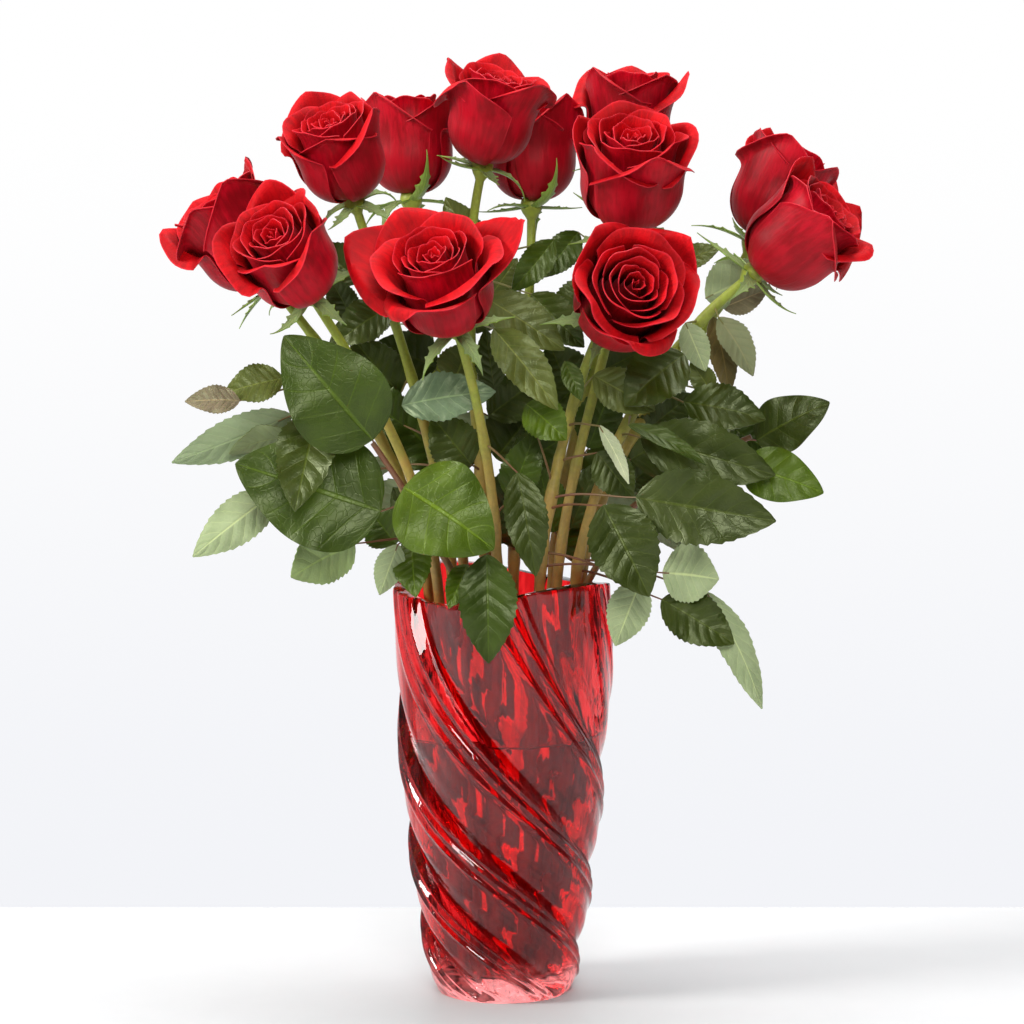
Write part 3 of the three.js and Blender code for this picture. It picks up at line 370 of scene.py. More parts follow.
def add_tube(line, radii, sides):
    """A closed round limb along a line of points, drawn in to a point at each end."""
    line = np.asarray(line, float)
    line = np.vstack([line[:1], line, line[-1:]])
    radii = np.concatenate([[0], radii, [0]])
    runs = np.gradient(line[1:-1], axis=0)
    runs = np.vstack([runs[:1], runs, runs[-1:]])
    side = point(0, 1, 0)
    pairs = []
    for run in runs:
        run = unit(run)
        side = unit(side - run * np.dot(run, side))
        pairs.append((side, np.cross(run, side)))
    first, second = np.array(pairs).transpose(1, 0, 2)

    def place(across, along):
        k = np.rint(along * (len(line) - 1)).astype(int)
        turn = across * pi
        ring = np.cos(turn)[:, None] * first[k] + np.sin(turn)[:, None] * second[k]
        return line[k] + ring * radii[k][:, None]

    return close_up(add_sheet(place, sides, len(line) - 1))


def paint(piece, tint):
    """Gives a piece its own tint, which the petal and leaf materials read."""
    layer = piece.data.color_attributes.new(TINT, "FLOAT_COLOR", "POINT")
    layer.data.foreach_set("color", np.tile([*tint, 1.0], len(piece.data.vertices)))
    return piece


def thicken(piece, thickness):
    """A sheet gets its thickness, with the second material on its far side and the first on its rim."""
    select_only(piece)
    wall = piece.modifiers.new("Thickness", "SOLIDIFY")
    wall.thickness = thickness
    wall.offset = 0
    wall.material_offset = 1
    bpy.ops.object.modifier_apply(modifier=wall.name)
    return piece


def dress(piece, *materials):
    for material in materials:
        piece.data.materials.append(material)
    return piece


def gather(name, pieces, node):
    """Joins pieces into one, smooths it, and puts it in the place of the solid it stands for."""
    select_only(*pieces)
    if len(pieces) > 1:
        bpy.ops.object.join()
    whole = bpy.context.object
    whole.name = name
    whole.data.name = name
    bpy.ops.object.shade_smooth_by_angle(angle=radians(SMOOTH_BELOW))
    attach(whole, "root")
    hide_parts(node)


# ---- Materials ----
# The petals' rims get a painted highlight: a thin lighter line mixed into their red.
PETAL_HIGHLIGHT_EDGE = (0.975, 0.965)  # where the bright rim starts, along the petal and out from its middle
VEIN_SLANT = 0.21  # how far towards the tip a side vein runs from the midrib to the edge
# Streaks and cells are counted across and along a petal or leaf. Reliefs are metres, the rest noise scales.
PETAL_STREAKS = (22, 4)
PETAL_CLOUDS = 60
PETAL_RELIEF = 0.0016
LEAF_CELLS = (9, 17)
LEAF_CLOUDS = 55
LEAF_RELIEF = 0.0016
STEM_GRAIN = 420
STEM_CLOUDS = 70
STEM_RELIEF = 0.0005
GLASS_RIBS = 7
GLASS_STREAKS = 22
GLASS_RELIEF = 0.002
WATER_RIPPLE = 30
WATER_RELIEF = 0.001
TABLE_GRAIN = 30


def maths(operation, swapped=False):
    """A method that adds a Math node, for a function, an operator such as +, or its reflected form."""

    def act(self, *others):
        values = (*others, self) if swapped else (self, *others)
        return self.shader.node("ShaderNodeMath", {"operation": operation}, dict(enumerate(values)))

    return act


class Signal:
    """A value inside a material, on which sums add Math nodes."""

    __add__ = maths("ADD")
    __radd__ = maths("ADD", swapped=True)
    __sub__ = maths("SUBTRACT")
    __rsub__ = maths("SUBTRACT", swapped=True)
    __mul__ = maths("MULTIPLY")
    __rmul__ = maths("MULTIPLY", swapped=True)
    __abs__ = maths("ABSOLUTE")
    fraction = maths("FRACT")
    cosine = maths("COSINE")
    sine = maths("SINE")
    larger = maths("MAXIMUM")

    def __init__(self, shader, socket):
        self.shader = shader
        self.socket = socket

    def step(self, low, high):
        """0 below low, 1 above high, and smooth between them, or the reverse where low is the larger."""
        return self.shader.node(
            "ShaderNodeMapRange",
            {"interpolation_type": "SMOOTHSTEP"},
            {"Value": self, "From Min": min(low, high), "From Max": max(low, high),
             "To Min": float(low > high), "To Max": float(low < high)},
        )


class Shader:
    """A material, or the surroundings, and the nodes added to it."""

    def __init__(self, owner, surface="Principled BSDF"):
        self.owner = owner
        self.owner.use_nodes = True
        self.tree = self.owner.node_tree
        self.surface = self.tree.nodes[surface]

    def feed(self, socket, value):
        if isinstance(value, Signal):
            self.tree.links.new(value.socket, socket)
        else:
            socket.default_value = (*value, 1) if socket.type == "RGBA" else value

    def node(self, kind, settings, inputs, output=0):
        made = self.tree.nodes.new(kind)
        for key, value in settings.items():
            setattr(made, key, value)
        for key, value in inputs.items():
            self.feed(made.inputs[key], value)
        return Signal(self, made.outputs[output])

    def finish(self, **values):
        """Sets or links sockets of the surface, each named by its socket, as in base_color for Base Color."""
        for key, value in values.items():
            name = key.replace("_", " ").title().replace("Ior", "IOR")
            self.feed(self.surface.inputs[name], value)
        return self.owner

    def parts(self, vector):
        """The X, Y and Z of a vector."""
        split = self.node("ShaderNodeSeparateXYZ", {}, {"Vector": vector})
        return [Signal(self, end) for end in split.socket.node.outputs]

    def uv(self):
        """How far across and along its sheet a point is, each from 0 to 1."""
        return self.parts(self.node("ShaderNodeUVMap", {"uv_map": UV}, {}))[:2]

    def place(self):
        return self.node("ShaderNodeTexCoord", {}, {}, "Object")

    def tint(self):
        return self.node("ShaderNodeAttribute", {"attribute_name": TINT}, {}, "Color")

    def vector(self, x, y, z):
        return self.node("ShaderNodeCombineXYZ", {}, {"X": x, "Y": y, "Z": z})

    def noise(self, vector, scale, detail=2, roughness=0.5):
        values = {"Vector": vector, "Scale": scale, "Detail": detail, "Roughness": roughness}
        return self.node("ShaderNodeTexNoise", {}, values, "Fac")

    def blend(self, factor, a, b, way="MIX"):
        """Colour between a and b."""
        return self.node(
            "ShaderNodeMix", {"data_type": "RGBA", "blend_type": way, "clamp_factor": True},
            {0: factor, 6: a, 7: b}, 2,
        )

    def bump(self, height, strength, distance):
        return self.node("ShaderNodeBump", {}, {"Height": height, "Strength": strength, "Distance": distance})


def petal_material(name, deep, bright, rim, roughness, sheen):
    """Velvety petal: soft streaks from root to edge, between painted shade and painted light of its red,
    darker towards its root with more painted shade, and a thin bright rim of painted highlight.
    """
    shader = Shader(bpy.data.materials.new(name))
    across, along = shader.uv()
    own = shader.node("ShaderNodeAttribute", {"attribute_name": TINT}, {}, "Fac")
    fan = shader.vector(across * PETAL_STREAKS[0], along * PETAL_STREAKS[1], own * 40)
    streaks = shader.noise(fan, 1, 4, 0.6)
    clouds = shader.noise(shader.place(), PETAL_CLOUDS)
    # Painted light and shade: patches of noise set how far the red goes from its shaded copy to its lit copy,
    # less far towards the root.
    painted_light_mask = (streaks * 0.5 + clouds * 0.5).step(0.38, 0.62)
    colour = shader.blend(painted_light_mask * (0.35 + along * 0.65), deep, bright)
    # Painted shade on some petals, chosen at random by their tint.
    colour = shader.blend(own.step(0, 1) * 0.35, colour, deep)
    end, side = PETAL_HIGHLIGHT_EDGE
    # Painted highlight along the petal's rim.
    edge = along.step(end, 1).larger(abs(across * 2 - 1).step(side, 1) * along.step(0.5, 0.8))
    colour = shader.blend(edge * 0.4, colour, rim)
    return shader.finish(
        base_color=colour,
        roughness=roughness + streaks * 0.12,
        normal=shader.bump(streaks * 0.4 + clouds * 0.6, 0.5, PETAL_RELIEF),
        sheen_weight=sheen,
        sheen_roughness=0.42,
        sheen_tint=(1, 0.5, 0.55),
        specular_ior_level=0.13 + sheen * 2,
        subsurface_weight=0.12,
        subsurface_radius=(1, 0.12, 0.08),
        subsurface_scale=0.0016,
    )


def leaf_material(name, pairs, net, roughness, vein_light, relief, under=False):
    """Leaf quilted between a midrib and side veins: glossy above, pale and matt below."""
    shader = Shader(bpy.data.materials.new(name))
    across, along = shader.uv()
    tint = shader.tint()
    off = abs(across * 2 - 1)
    from_vein = abs(((along - off * VEIN_SLANT) * pairs).fraction() - 0.5)
    side = from_vein.step(0.06, 0) * off.step(1, 0.75)
    rib = off.step(0.055, 0.02)
    place = shader.vector(across * LEAF_CELLS[0], along * LEAF_CELLS[1], 0)
    cells = shader.node(
        "ShaderNodeTexVoronoi", {"feature": "DISTANCE_TO_EDGE"}, {"Vector": place, "Scale": net}, "Distance"
    )
    mesh_lines = cells.step(0.1, 0)
    clouds = shader.noise(shader.place(), LEAF_CLOUDS, 3)
    light = shader.blend(1, tint, (2, 1.9, 1.5), "MULTIPLY")
    shade = shader.blend(1, tint, (0.62, 0.66, 0.6), "MULTIPLY")
    colour = shader.blend(clouds.step(0.35, 0.7), shade, tint)
    colour = shader.blend((side * 0.8).larger(mesh_lines * 0.2) * vein_light, colour, light)
    colour = shader.blend(rib * min(1, vein_light * 1.5), colour, light)
    if under:
        colour = shader.blend(0.55, colour, (0.3, 0.36, 0.2))
    quilt = from_vein.step(0, 0.4) * off.step(1, 0.6)
    height = quilt * 0.9 - side * 0.4 - rib - mesh_lines * 0.15 + clouds * 0.8
    return shader.finish(
        base_color=colour,
        roughness=roughness + clouds * 0.16,
        normal=shader.bump(height, relief, LEAF_RELIEF),
        specular_ior_level=0.22 if under else 0.5,
        specular_tint=(0.9, 1, 0.6),
        subsurface_weight=0.06,
        subsurface_radius=(0.5, 1, 0.2),
        subsurface_scale=0.0012,
    )


def stem_material(name, above, below, turn_height):
    """Stem: fresh green above, woodier towards the vase."""
    shader = Shader(bpy.data.materials.new(name))
    place = shader.place()
    height = shader.parts(place)[2]
    grain = shader.noise(place, STEM_GRAIN, 3)
    clouds = shader.noise(place, STEM_CLOUDS)
    low = (height + (clouds - 0.5) * 0.12).step(turn_height + 0.05, turn_height - 0.06)
    colour = shader.blend(low, above, below)
    colour = shader.blend((grain * clouds * 2).step(0.3, 0.75) * 0.35, colour, (0.12, 0.1, 0.03))
    return shader.finish(
        base_color=colour,
        roughness=0.42 + grain * 0.15,
        normal=shader.bump(grain, 0.3, STEM_RELIEF),
        specular_ior_level=0.45,
    )


def glass_material(name, body, deep, foot, glow):
    """Ruby glass with deeper streaks. Its colour thins out in the thick foot, where streaks of painted glow,
    light the glass itself emits, stand in for light gathering there.
    """
    shader = Shader(bpy.data.materials.new(name))
    x, y, height = shader.parts(shader.place())
    around, along = shader.uv()
    turn = around * (2 * pi)
    ribbed = shader.noise(shader.vector(turn.cosine(), turn.sine(), along * 0.5), GLASS_RIBS)
    upright = shader.noise(shader.vector(x * 8, y * 8, height * 0.8), GLASS_STREAKS)
    streaks = ribbed * 0.5 + upright * 0.5
    colour = shader.blend(streaks.step(0.38, 0.52), deep, body)
    colour = shader.blend(height.step(0.004, 0.028), foot, colour)
    # Painted glow: streaks in the foot emit light, standing in for light gathered in the thick glass.
    painted_glow_mask = streaks.step(0.44, 0.58) * height.step(0.03, 0.006)
    return shader.finish(
        base_color=colour,
        roughness=0.012,
        ior=1.52,
        transmission_weight=1,
        normal=shader.bump(streaks, 0.22, GLASS_RELIEF),
        emission_color=shader.blend(painted_glow_mask, (0, 0, 0), glow),
        emission_strength=1,
    )


def water_material(name):
    shader = Shader(bpy.data.materials.new(name))
    ripple = shader.noise(shader.place(), WATER_RIPPLE)
    return shader.finish(
        base_color=(0.97, 0.985, 0.98),
        roughness=0,
        ior=1.333,
        transmission_weight=1,
        normal=shader.bump(ripple, 0.05, WATER_RELIEF),
    )


# ---- Settings ----
def amount(name, description, default, **kind):
    return bpy.props.FloatProperty(name=name, description=description, default=default, **kind)


def length(name, description, default):
    return amount(name, description, default, unit="LENGTH", precision=4)


def colour(name, description, default):
    return bpy.props.FloatVectorProperty(
        name=name, description=description, default=default, subtype="COLOR", min=0, max=1
    )


class VaseSettings(bpy.types.PropertyGroup):
    height: length("Height", "Height of the vase", 0.232)
    base_radius: length("Base Radius", "Radius of the wall at the table", 0.0385)
    belly_radius: length("Belly Radius", "Radius of the wall where it is widest", 0.06)
    belly_at: amount("Belly At", "Share of the height where the wall is widest", 0.95, subtype="FACTOR")
    wall: length("Wall", "Thickness of the glass", 0.008)
    twist_top: amount("Twist at Rim", "Twist per vase height at the rim", radians(75), subtype="ANGLE")
    twist_growth: amount("Twist Growth", "Further twist from rim to foot", radians(183), subtype="ANGLE")
    water_level: length("Water Level", "Height of the water above the table", 0.15)
    body: colour("Ruby", "Bright red of the glass wall", (0.96, 0.02, 0.025))
    deep: colour("Deep Ruby", "Deeper red of the streaks in the glass wall", (0.5, 0.003, 0.006))
    foot: colour("Foot", "Colour of the thick foot", (0.98, 0.36, 0.36))
    # Painted glow: light that the foot's streaks emit, standing in for light gathered there.
    glow: colour("Foot Light", "Light gathered in the thick foot", (0.24, 0.06, 0.06))


class BloomSettings(bpy.types.PropertyGroup):
    thickness: length("Petal Thickness", "Thickness of a petal", 0.0005)
    # The deep and bright reds of face and back are painted shade and painted light of one red each.
    face_deep: colour("Face Shade", "Deep red inside the petals", (0.35, 0.0003, 0.003))
    face_bright: colour("Face Light", "Bright red inside the petals", (0.64, 0.0008, 0.005))
    back_deep: colour("Back Shade", "Deep red outside the petals", (0.25, 0.0004, 0.005))
    back_bright: colour("Back Light", "Bright red outside the petals", (0.56, 0.0015, 0.016))
    # Painted highlight: colour of the thin lighter line along the petal rims.
    rim: colour("Rim", "Bright edge of the petals", (0.8, 0.03, 0.05))


class GreenerySettings(bpy.types.PropertyGroup):
    leaf_thickness: length("Leaf Thickness", "Thickness of a leaf", 0.0005)
    stem_above: colour("Stem Above", "Green of the upper stems", (0.27, 0.33, 0.03))
    stem_below: colour("Stem Below", "Tan of the lower stems", (0.33, 0.21, 0.045))
    stalk: colour("Leaf Stalk", "Brownish green of the upper leaf stalks", (0.16, 0.15, 0.03))
    twig: colour("Twig", "Reddish brown of the broad-leaved twigs and the lower stalks", (0.15, 0.055, 0.025))


class StageSettings(bpy.types.PropertyGroup):
    table_back: length("Table Back", "How far the table reaches behind the vase", 0.209)
    table: colour("Table", "Colour of the table", (0.62, 0.625, 0.635))
    backdrop: colour("Backdrop", "Colour behind the table", (0.896, 0.905, 0.939))
    key_power: amount("Key Light", "Power of the main softbox, at the left", 178, unit="POWER")
    top_power: amount("Top Light", "Power of the softbox overhead", 98, unit="POWER")
    front_power: amount("Front Light", "Power of the softbox above the camera", 58, unit="POWER")


# ---- Vase and water ----
def wall_radius(vase, z):
    share = z / (vase.height / MM) / vase.belly_at
    return mix(vase.base_radius, vase.belly_radius, 1 - (1 - share) ** 2) / MM


def lobe_relief(share):
    """Height of the glass across one lobe, with rounded crests and hollows."""
    places, heights = np.array(LOBE_RELIEF).T
    k = np.clip(np.searchsorted(places, share, "right") - 1, 0, len(places) - 2)
    t = (share - places[k]) / (places[k + 1] - places[k])
    return mix(heights[k], heights[k + 1], mix(t, ease(t), 0.7))


def hollow_corner(vase, inset, degrees):
    """Rings round the lower corner of the hollow, inset from the outside of the glass."""
    flat = wall_radius(vase, FLOOR) - inset - CAVITY_CORNER
    rise = wall_radius(vase, FLOOR + CAVITY_CORNER) - inset
    turns = np.radians(degrees)
    return [(mix(flat, rise, sin(t)), FLOOR + CAVITY_CORNER * (1 - cos(t))) for t in turns]


def vase_stations(vase):
    """Rings of the vase from the middle of its foot, up the outside, over the rim and down the inside."""
    height = vase.height / MM
    wall = vase.wall / MM
    foot = wall_radius(vase, 0) - HEEL_INSET
    rings = [(r, 0, 0, 0) for r in (0, foot * 0.5, foot - 2)]
    for z in [0, 1, 2, 4, *np.linspace(HEEL_HEIGHT, height - RIM_ROUND, OUTSIDE_RINGS)]:
        heel = HEEL_INSET * (1 - np.clip(z / HEEL_HEIGHT, 0, 1)) ** 2
        rings.append((wall_radius(vase, z) - heel, z, ease(z / RELIEF_FADE_FOOT), z))
    top = wall_radius(vase, height)
    edge_in, edge_down = RIM_EDGE
    rings += [
        (top - edge_in, height - edge_down, 1, height),
        (top - RIM_ROUND, height, 0.8, height),
        (top - wall / 2, height, 0.4, height),
        (top - wall + RIM_ROUND, height, 0, height),
        (top - wall + edge_in, height - edge_down, 0, height),
    ]
    for z in np.linspace(height - RIM_ROUND, FLOOR + CAVITY_CORNER, INSIDE_RINGS):
        rings.append((wall_radius(vase, z) - wall, z, 0, height))
    corner = hollow_corner(vase, wall, [72, 54, 36, 18, 0])
    rings += [(r, z, 0, height) for r, z in corner]
    rings += [(corner[-1][0] * share, FLOOR, 0, height) for share in (0.66, 0.33, 0)]
    return np.array(rings)


def twist_at(vase, z):
    from_top = 1 - z * MM / vase.height
    return vase.twist_top * from_top + vase.twist_growth * from_top**2


class ROSE_VASE_OT_vase(bpy.types.Operator):
    """Add the ribbed glass vase"""

    bl_idname = "rose_vase.vase"
    bl_label = "Vase"

    def execute(self, context):
        vase = context.scene.vase_settings
        rings = vase_stations(vase)

        def place(across, along):
            r, z, relief, twisted = rings[np.rint(along * (len(rings) - 1)).astype(int)].T
            lobe = (across + 1) / 2 * LOBES
            turn = radians(LOBE_START) + twist_at(vase, twisted) + lobe * 2 * pi / LOBES
            r = r + relief * lobe_relief(1 - lobe % 1)
            wave = RIM_RISE + RIM_WAVE * np.cos(RIM_WAVES * (turn - radians(RIM_CREST)))
            lift = wave * ease((z - RIM_WAVE_FROM) / (vase.height / MM - RIM_WAVE_FROM))
            return np.stack([r * np.sin(turn), -r * np.cos(turn), z + lift], axis=1)

        glass = close_up(add_sheet(place, LOBE_POINTS * LOBES, len(rings) - 1))
        dress(glass, glass_material("Ruby Glass", vase.body, vase.deep, vase.foot, vase.glow))
        gather("ribbed_vase", [glass], "vase")
        return {"FINISHED"}


class ROSE_VASE_OT_water(bpy.types.Operator):
    """Add the water that the stems stand in"""

    bl_idname = "rose_vase.water"
    bl_label = "Water"

    def execute(self, context):
        vase = context.scene.vase_settings
        level = vase.water_level / MM
        inside = vase.wall / MM - WATER_INTO_GLASS
        corner = hollow_corner(vase, inside, [0, 18, 36, 54, 72])
        rings = [(corner[0][0] * share, FLOOR - WATER_INTO_GLASS) for share in (0, 0.5, 1)]
        rings += corner[1:]
        sides = np.linspace(FLOOR + CAVITY_CORNER, level, WATER_RINGS)
        rings += [(wall_radius(vase, z) - inside, z) for z in sides]
        edge = wall_radius(vase, level) - inside
        rings += [(edge - inward, level - down) for inward, down in MENISCUS]
        rings += [(edge * share, level - WATER_DIP) for share in (0.5, 0)]
        rings = np.array(rings)

        def place(across, along):
            r, z = rings[np.rint(along * (len(rings) - 1)).astype(int)].T
            turn = across * pi
            return np.stack([r * np.cos(turn), r * np.sin(turn), z], axis=1)

        water = close_up(add_sheet(place, WATER_SIDES, len(rings) - 1))
        dress(water, water_material("Water"))
        gather("clear_water", [water], "water")
        return {"FINISHED"}


# ---- Blooms ----
def petal_shape(rose, number, index):
    """Sizes of one petal. Each mix goes from the heart, or the inner petals, to the outermost."""
    outward = index / (PETALS_IN_A_ROSE - 1)
    outer = float(ease((outward - OUTER_FROM) / (1 - OUTER_FROM)))
    flare = rose["flare"]

    def chance(n):
        return draw(number * 31 + index, n) - 0.5

    closing = mix(-10, mix(-8, 4, rose["open"]), outward)
    rolling = mix(8, mix(24, 60, rose["open"]), outward) * (1 - 0.5 * outer)
    folding = (64 + 30 * flare) * outer * (1 + 0.8 * chance(2))
    longer = 1 + (0.2 * flare - 0.06 + 0.25 * chance(7)) * outer
    return dict(
        root_radius=mix(1.2, 4.2, outward),
        root_height=mix(13, 0.8, outward),
        waist_radius=mix(3, 22 + 4.5 * rose["open"], outward),
        waist_height=mix(24, 22, outward),
        upper_length=mix(25, 33, outward) * (1 + 0.08 * chance(1)) * longer,
        stand=radians(closing + (10 + 30 * flare**2) * outer),
        roll=radians(rolling + folding),
        half_angle=mix(1.7, 1.12, outward**0.6) * (1 + 0.08 * chance(3)),
        centre=radians(index * GOLDEN_ANGLE + rose["spin"] + 14 * chance(4)),
        skew=0.5 * chance(5) * outer,
        fold_tip=mix(0.55, 0.93, outer),
        fold_side=mix(0.4, 0.22, outer),
        crease=mix(0.6, 0.16, outer),
        drop=mix(0.1, 0.36, outer),
        point=mix(2, 1.35, outer),
        lip=radians(mix(14, 10, outward) * (1 + chance(8))),
        ripple=mix(0.1, 0.9, outward),
        wave=chance(6),
    )


def petal_points(shape, across, along):
    """Points of a petal round its bloom's axis: a bowl, upright from its waist, whose sides fold back."""
    reach = 1 - shape["drop"] * (across**2 + 0.002) ** (shape["point"] / 2)
    reach = reach * (1 + 0.012 * np.sin(across * 9 + shape["wave"] * 40))
    s = along * reach
    wide = shape["waist_radius"] + PETAL_TUCK * across
    bowl = np.clip(s / PETAL_WAIST, 0, 1) * pi / 2
    r = mix(shape["root_radius"], wide, np.sin(bowl))
    z = mix(shape["waist_height"], shape["root_height"], np.cos(bowl))
    above = np.clip((s - PETAL_WAIST) / (1 - PETAL_WAIST), 0, None)
    start = mix(shape["fold_tip"], shape["fold_side"], np.clip(np.abs(across + shape["skew"]), 0, 1) ** 1.1)
    for k in range(FOLD_STEPS):
        part = above * (k + 0.5) / FOLD_STEPS
        angle = shape["stand"] * ease(part * 2) + shape["roll"] * ease((part - start) / shape["crease"])
        angle = angle + shape["lip"] * ease((part - 0.8) / 0.2)
        r = r + np.sin(angle) * shape["upper_length"] * above / FOLD_STEPS
        z = z + np.cos(angle) * shape["upper_length"] * above / FOLD_STEPS
    widening = np.sin(pi / 2 * np.clip(s / 0.6, 0, 1))
    narrowing = 1 - 0.12 * ease((s - 0.6) / 0.4)
    turn = shape["centre"] + across * shape["half_angle"] * mix(0.7, 1, widening) * narrowing
    r = r + ease(above) * shape["ripple"] * np.sin(across * 5 + shape["wave"] * 30)
    return np.stack([r * np.cos(turn), r * np.sin(turn), z], axis=1)


class ROSE_VASE_OT_blooms(bpy.types.Operator):
    """Add the twelve blooms, petal by petal"""

    bl_idname = "rose_vase.blooms"
    bl_label = "Blooms"

    def execute(self, context):
        bloom = context.scene.bloom_settings
        back = petal_material("Petal Back", bloom.back_deep, bloom.back_bright, bloom.rim, 0.42, 0.03)
        face = petal_material("Petal Face", bloom.face_deep, bloom.face_bright, bloom.rim, 0.58, 0.01)
        for number, rose in enumerate(ROSES):
            petals = []
            for index in range(PETALS_IN_A_ROSE):
                shape = petal_shape(rose, number, index)

                def place(across, along):
                    return on_its_hip(rose, petal_points(shape, across, along))

                petal = add_sheet(place, *PETAL_GRID)
                paint(petal, [draw(number + 50, index)] * 3)
                petals.append(thicken(dress(petal, back, face), bloom.thickness))
            gather(f"bloom_{number + 1:02d}", petals, f"rose_{number + 1:02d}_bloom")
        return {"FINISHED"}


# ---- Greenery ----
def bezier(a, b, c, d, count):
    t = np.linspace(0, 1, count)[:, None]
    return (1 - t) ** 3 * a + 3 * (1 - t) ** 2 * t * b + 3 * (1 - t) * t**2 * c + t**3 * d


def stem_line(neck, foot, end, direction):
    """A stem: straight in the vase, then one smooth curve up to the hip."""
    low = point(*foot, STEM_FOOT_HEIGHT)
    high = point(*neck, NECK_HEIGHT)
    rise = unit(high - low)
    reach = np.linalg.norm(end - high)
    straight = mix(low, high, np.linspace(0, 1, 12)[:-1, None])
    curve = bezier(high, high + rise * reach * 0.38, end - unit(direction) * reach * 0.3, end, 30)
    return np.vstack([straight, curve])


def twig_line(twig):
    """A twig: straight from knot to knot."""
    knots = np.array([(*twig["foot"], STEM_FOOT_HEIGHT), (*twig["neck"], NECK_HEIGHT), *twig["way"]], float)
    t = np.linspace(0, len(knots) - 1, 40)
    return np.stack([np.interp(t, range(len(knots)), knots[:, k]) for k in range(3)], axis=1)


def point_at_height(line, z):
    return np.array([np.interp(z, line[:, 2], line[:, k]) for k in range(3)])


def add_leaf(leaf, kind, line, number, materials, thickness):
    """A leaf and its stalk: folded along the midrib, arched, with a toothed or smooth edge."""
    at, base, tip, width, *turned, tone = leaf
    face, bend = turned or (FRONT, SMALL_BEND)
    look = LEAF_KINDS[kind]
    base, tip = point(*base), point(*tip)
    size = np.linalg.norm(tip - base)
    along_way = unit(tip - base)
    face = unit(np.array(face) - along_way * np.dot(along_way, face))
    side = np.cross(along_way, face)
    fold = radians(look["fold"])
    luck = draw(number, 17)

    def middle(t):
        t = np.asarray(t)[:, None]
        return base + along_way * size * t + face * bend * np.sin(pi * t)

    def place(across, along):
        outline = np.abs(np.sin(pi * along ** look["peak"])) ** look["fullness"]
        tooth = (along * look["teeth"] + 0.3) % 1
        half = width / 2 * outline * (1 + look["tooth"] * (tooth * 1.6 - 0.8))
        half = np.maximum(half, LEAF_LEAST)
        spread = across * half * cos(fold)
        crease = np.sqrt(across**2 + 0.012) - 0.11
        ripple = 0.1 * across**2 * np.sin(along * 13 + luck * 30 + np.sign(across) * 1.4)
        raised = half * (crease * sin(fold) * 1.25 - 0.1 * across**2 + ripple)
        return middle(along) + side * spread[:, None] + face * raised[:, None]

    tint = [c * mix(0.85, 1.15, luck) for c in TONES[tone]]
    blade = paint(add_sheet(place, *LEAF_GRID), tint)
    thicken(dress(blade, *materials), thickness)
    start = point_at_height(line, at)
    away = base - start
    bow = (start, start + away * 0.35 + point(0, 0, 0.08 * np.linalg.norm(away)), base - away * 0.3, base)
    way = np.vstack([bezier(*bow, 10)[:-1], middle(np.linspace(0, 0.12, 3)) - face * 0.35])
    stalk = add_tube(way, np.linspace(*STALK_RADII, len(way)), STALK_SIDES)
    return [blade, dress(stalk, materials[2])]


def add_sepal(rose, number, count, materials, thickness):
    """A narrow green leaf that folds back under the bloom, with a few side points."""
    turn = radians(rose["spin"] + 360 / SEPALS * count + 14 * (draw(number, count) - 0.5))
    out = point(cos(turn), sin(turn), 0)
    aside = point(-sin(turn), cos(turn), 0)
    raised = rose.get("raised") == count
    start = radians(RAISED_START if raised else mix(82, 102, draw(number + 3, count)))
    end = radians(RAISED_END if raised else mix(40, 195, draw(number, count + 9)))
    reach = SEPAL_LENGTH * (RAISED_LENGTH if raised else mix(0.85, 1.15, draw(number + 5, count)))
    last = SEPAL_ROWS - 1
    angles = mix(start, end, (np.arange(SEPAL_ROWS) / last) ** 1.5)
    steps = np.stack([np.sin(angles), np.cos(angles)], axis=1) * reach / last
    run = np.vstack([[HIP_RADIUS - 2, -3.4], steps]).cumsum(axis=0)[:SEPAL_ROWS]

    def place(across, along):
        k = np.rint(along * last).astype(int)
        outline = mix(0.9, 1, ease(along * 4)) * (1 - ease((along - 0.1) / 0.9)) ** 0.8 + 0.03
        spikes = 1
        for at in SEPAL_SPIKES:
            spikes = spikes + 0.9 * np.exp(-(((along - at) / 0.025) ** 2))
        half = SEPAL_WIDTH / 2 * outline * spikes
        angle = angles[k]
        hollow = across**2 * half * 0.35
        flat = run[k, 0] - np.cos(angle) * hollow
        high = run[k, 1] + np.sin(angle) * hollow
        local = out * flat[:, None] + aside * (across * half)[:, None]
        local[:, 2] += high
        return on_its_hip(rose, local)

    sepal = paint(add_sheet(place, 6, last), SEPAL_GREEN)
    return thicken(dress(sepal, *materials), thickness)


def add_rose_stem(rose, line, leaves, material):
    """A stem with its hip and a swelling at each leaf stalk."""
    hip = [point(*rose["hip"]) - unit(rose["face"]) * below for below, _ in HIP_PROFILE]
    radii = mix(STEM_FOOT_RADIUS, STEM_TOP_RADIUS, np.linspace(0, 1, len(line)))
    for leaf in leaves:
        radii = radii * (1 + NODE_SWELL * np.exp(-(((line[:, 2] - leaf[0]) / NODE_REACH) ** 2)))
    radii = np.concatenate([radii, [radius * rose["size"] for _, radius in HIP_PROFILE]])
    return dress(add_tube(np.vstack([line, hip]), radii, STEM_SIDES), material)


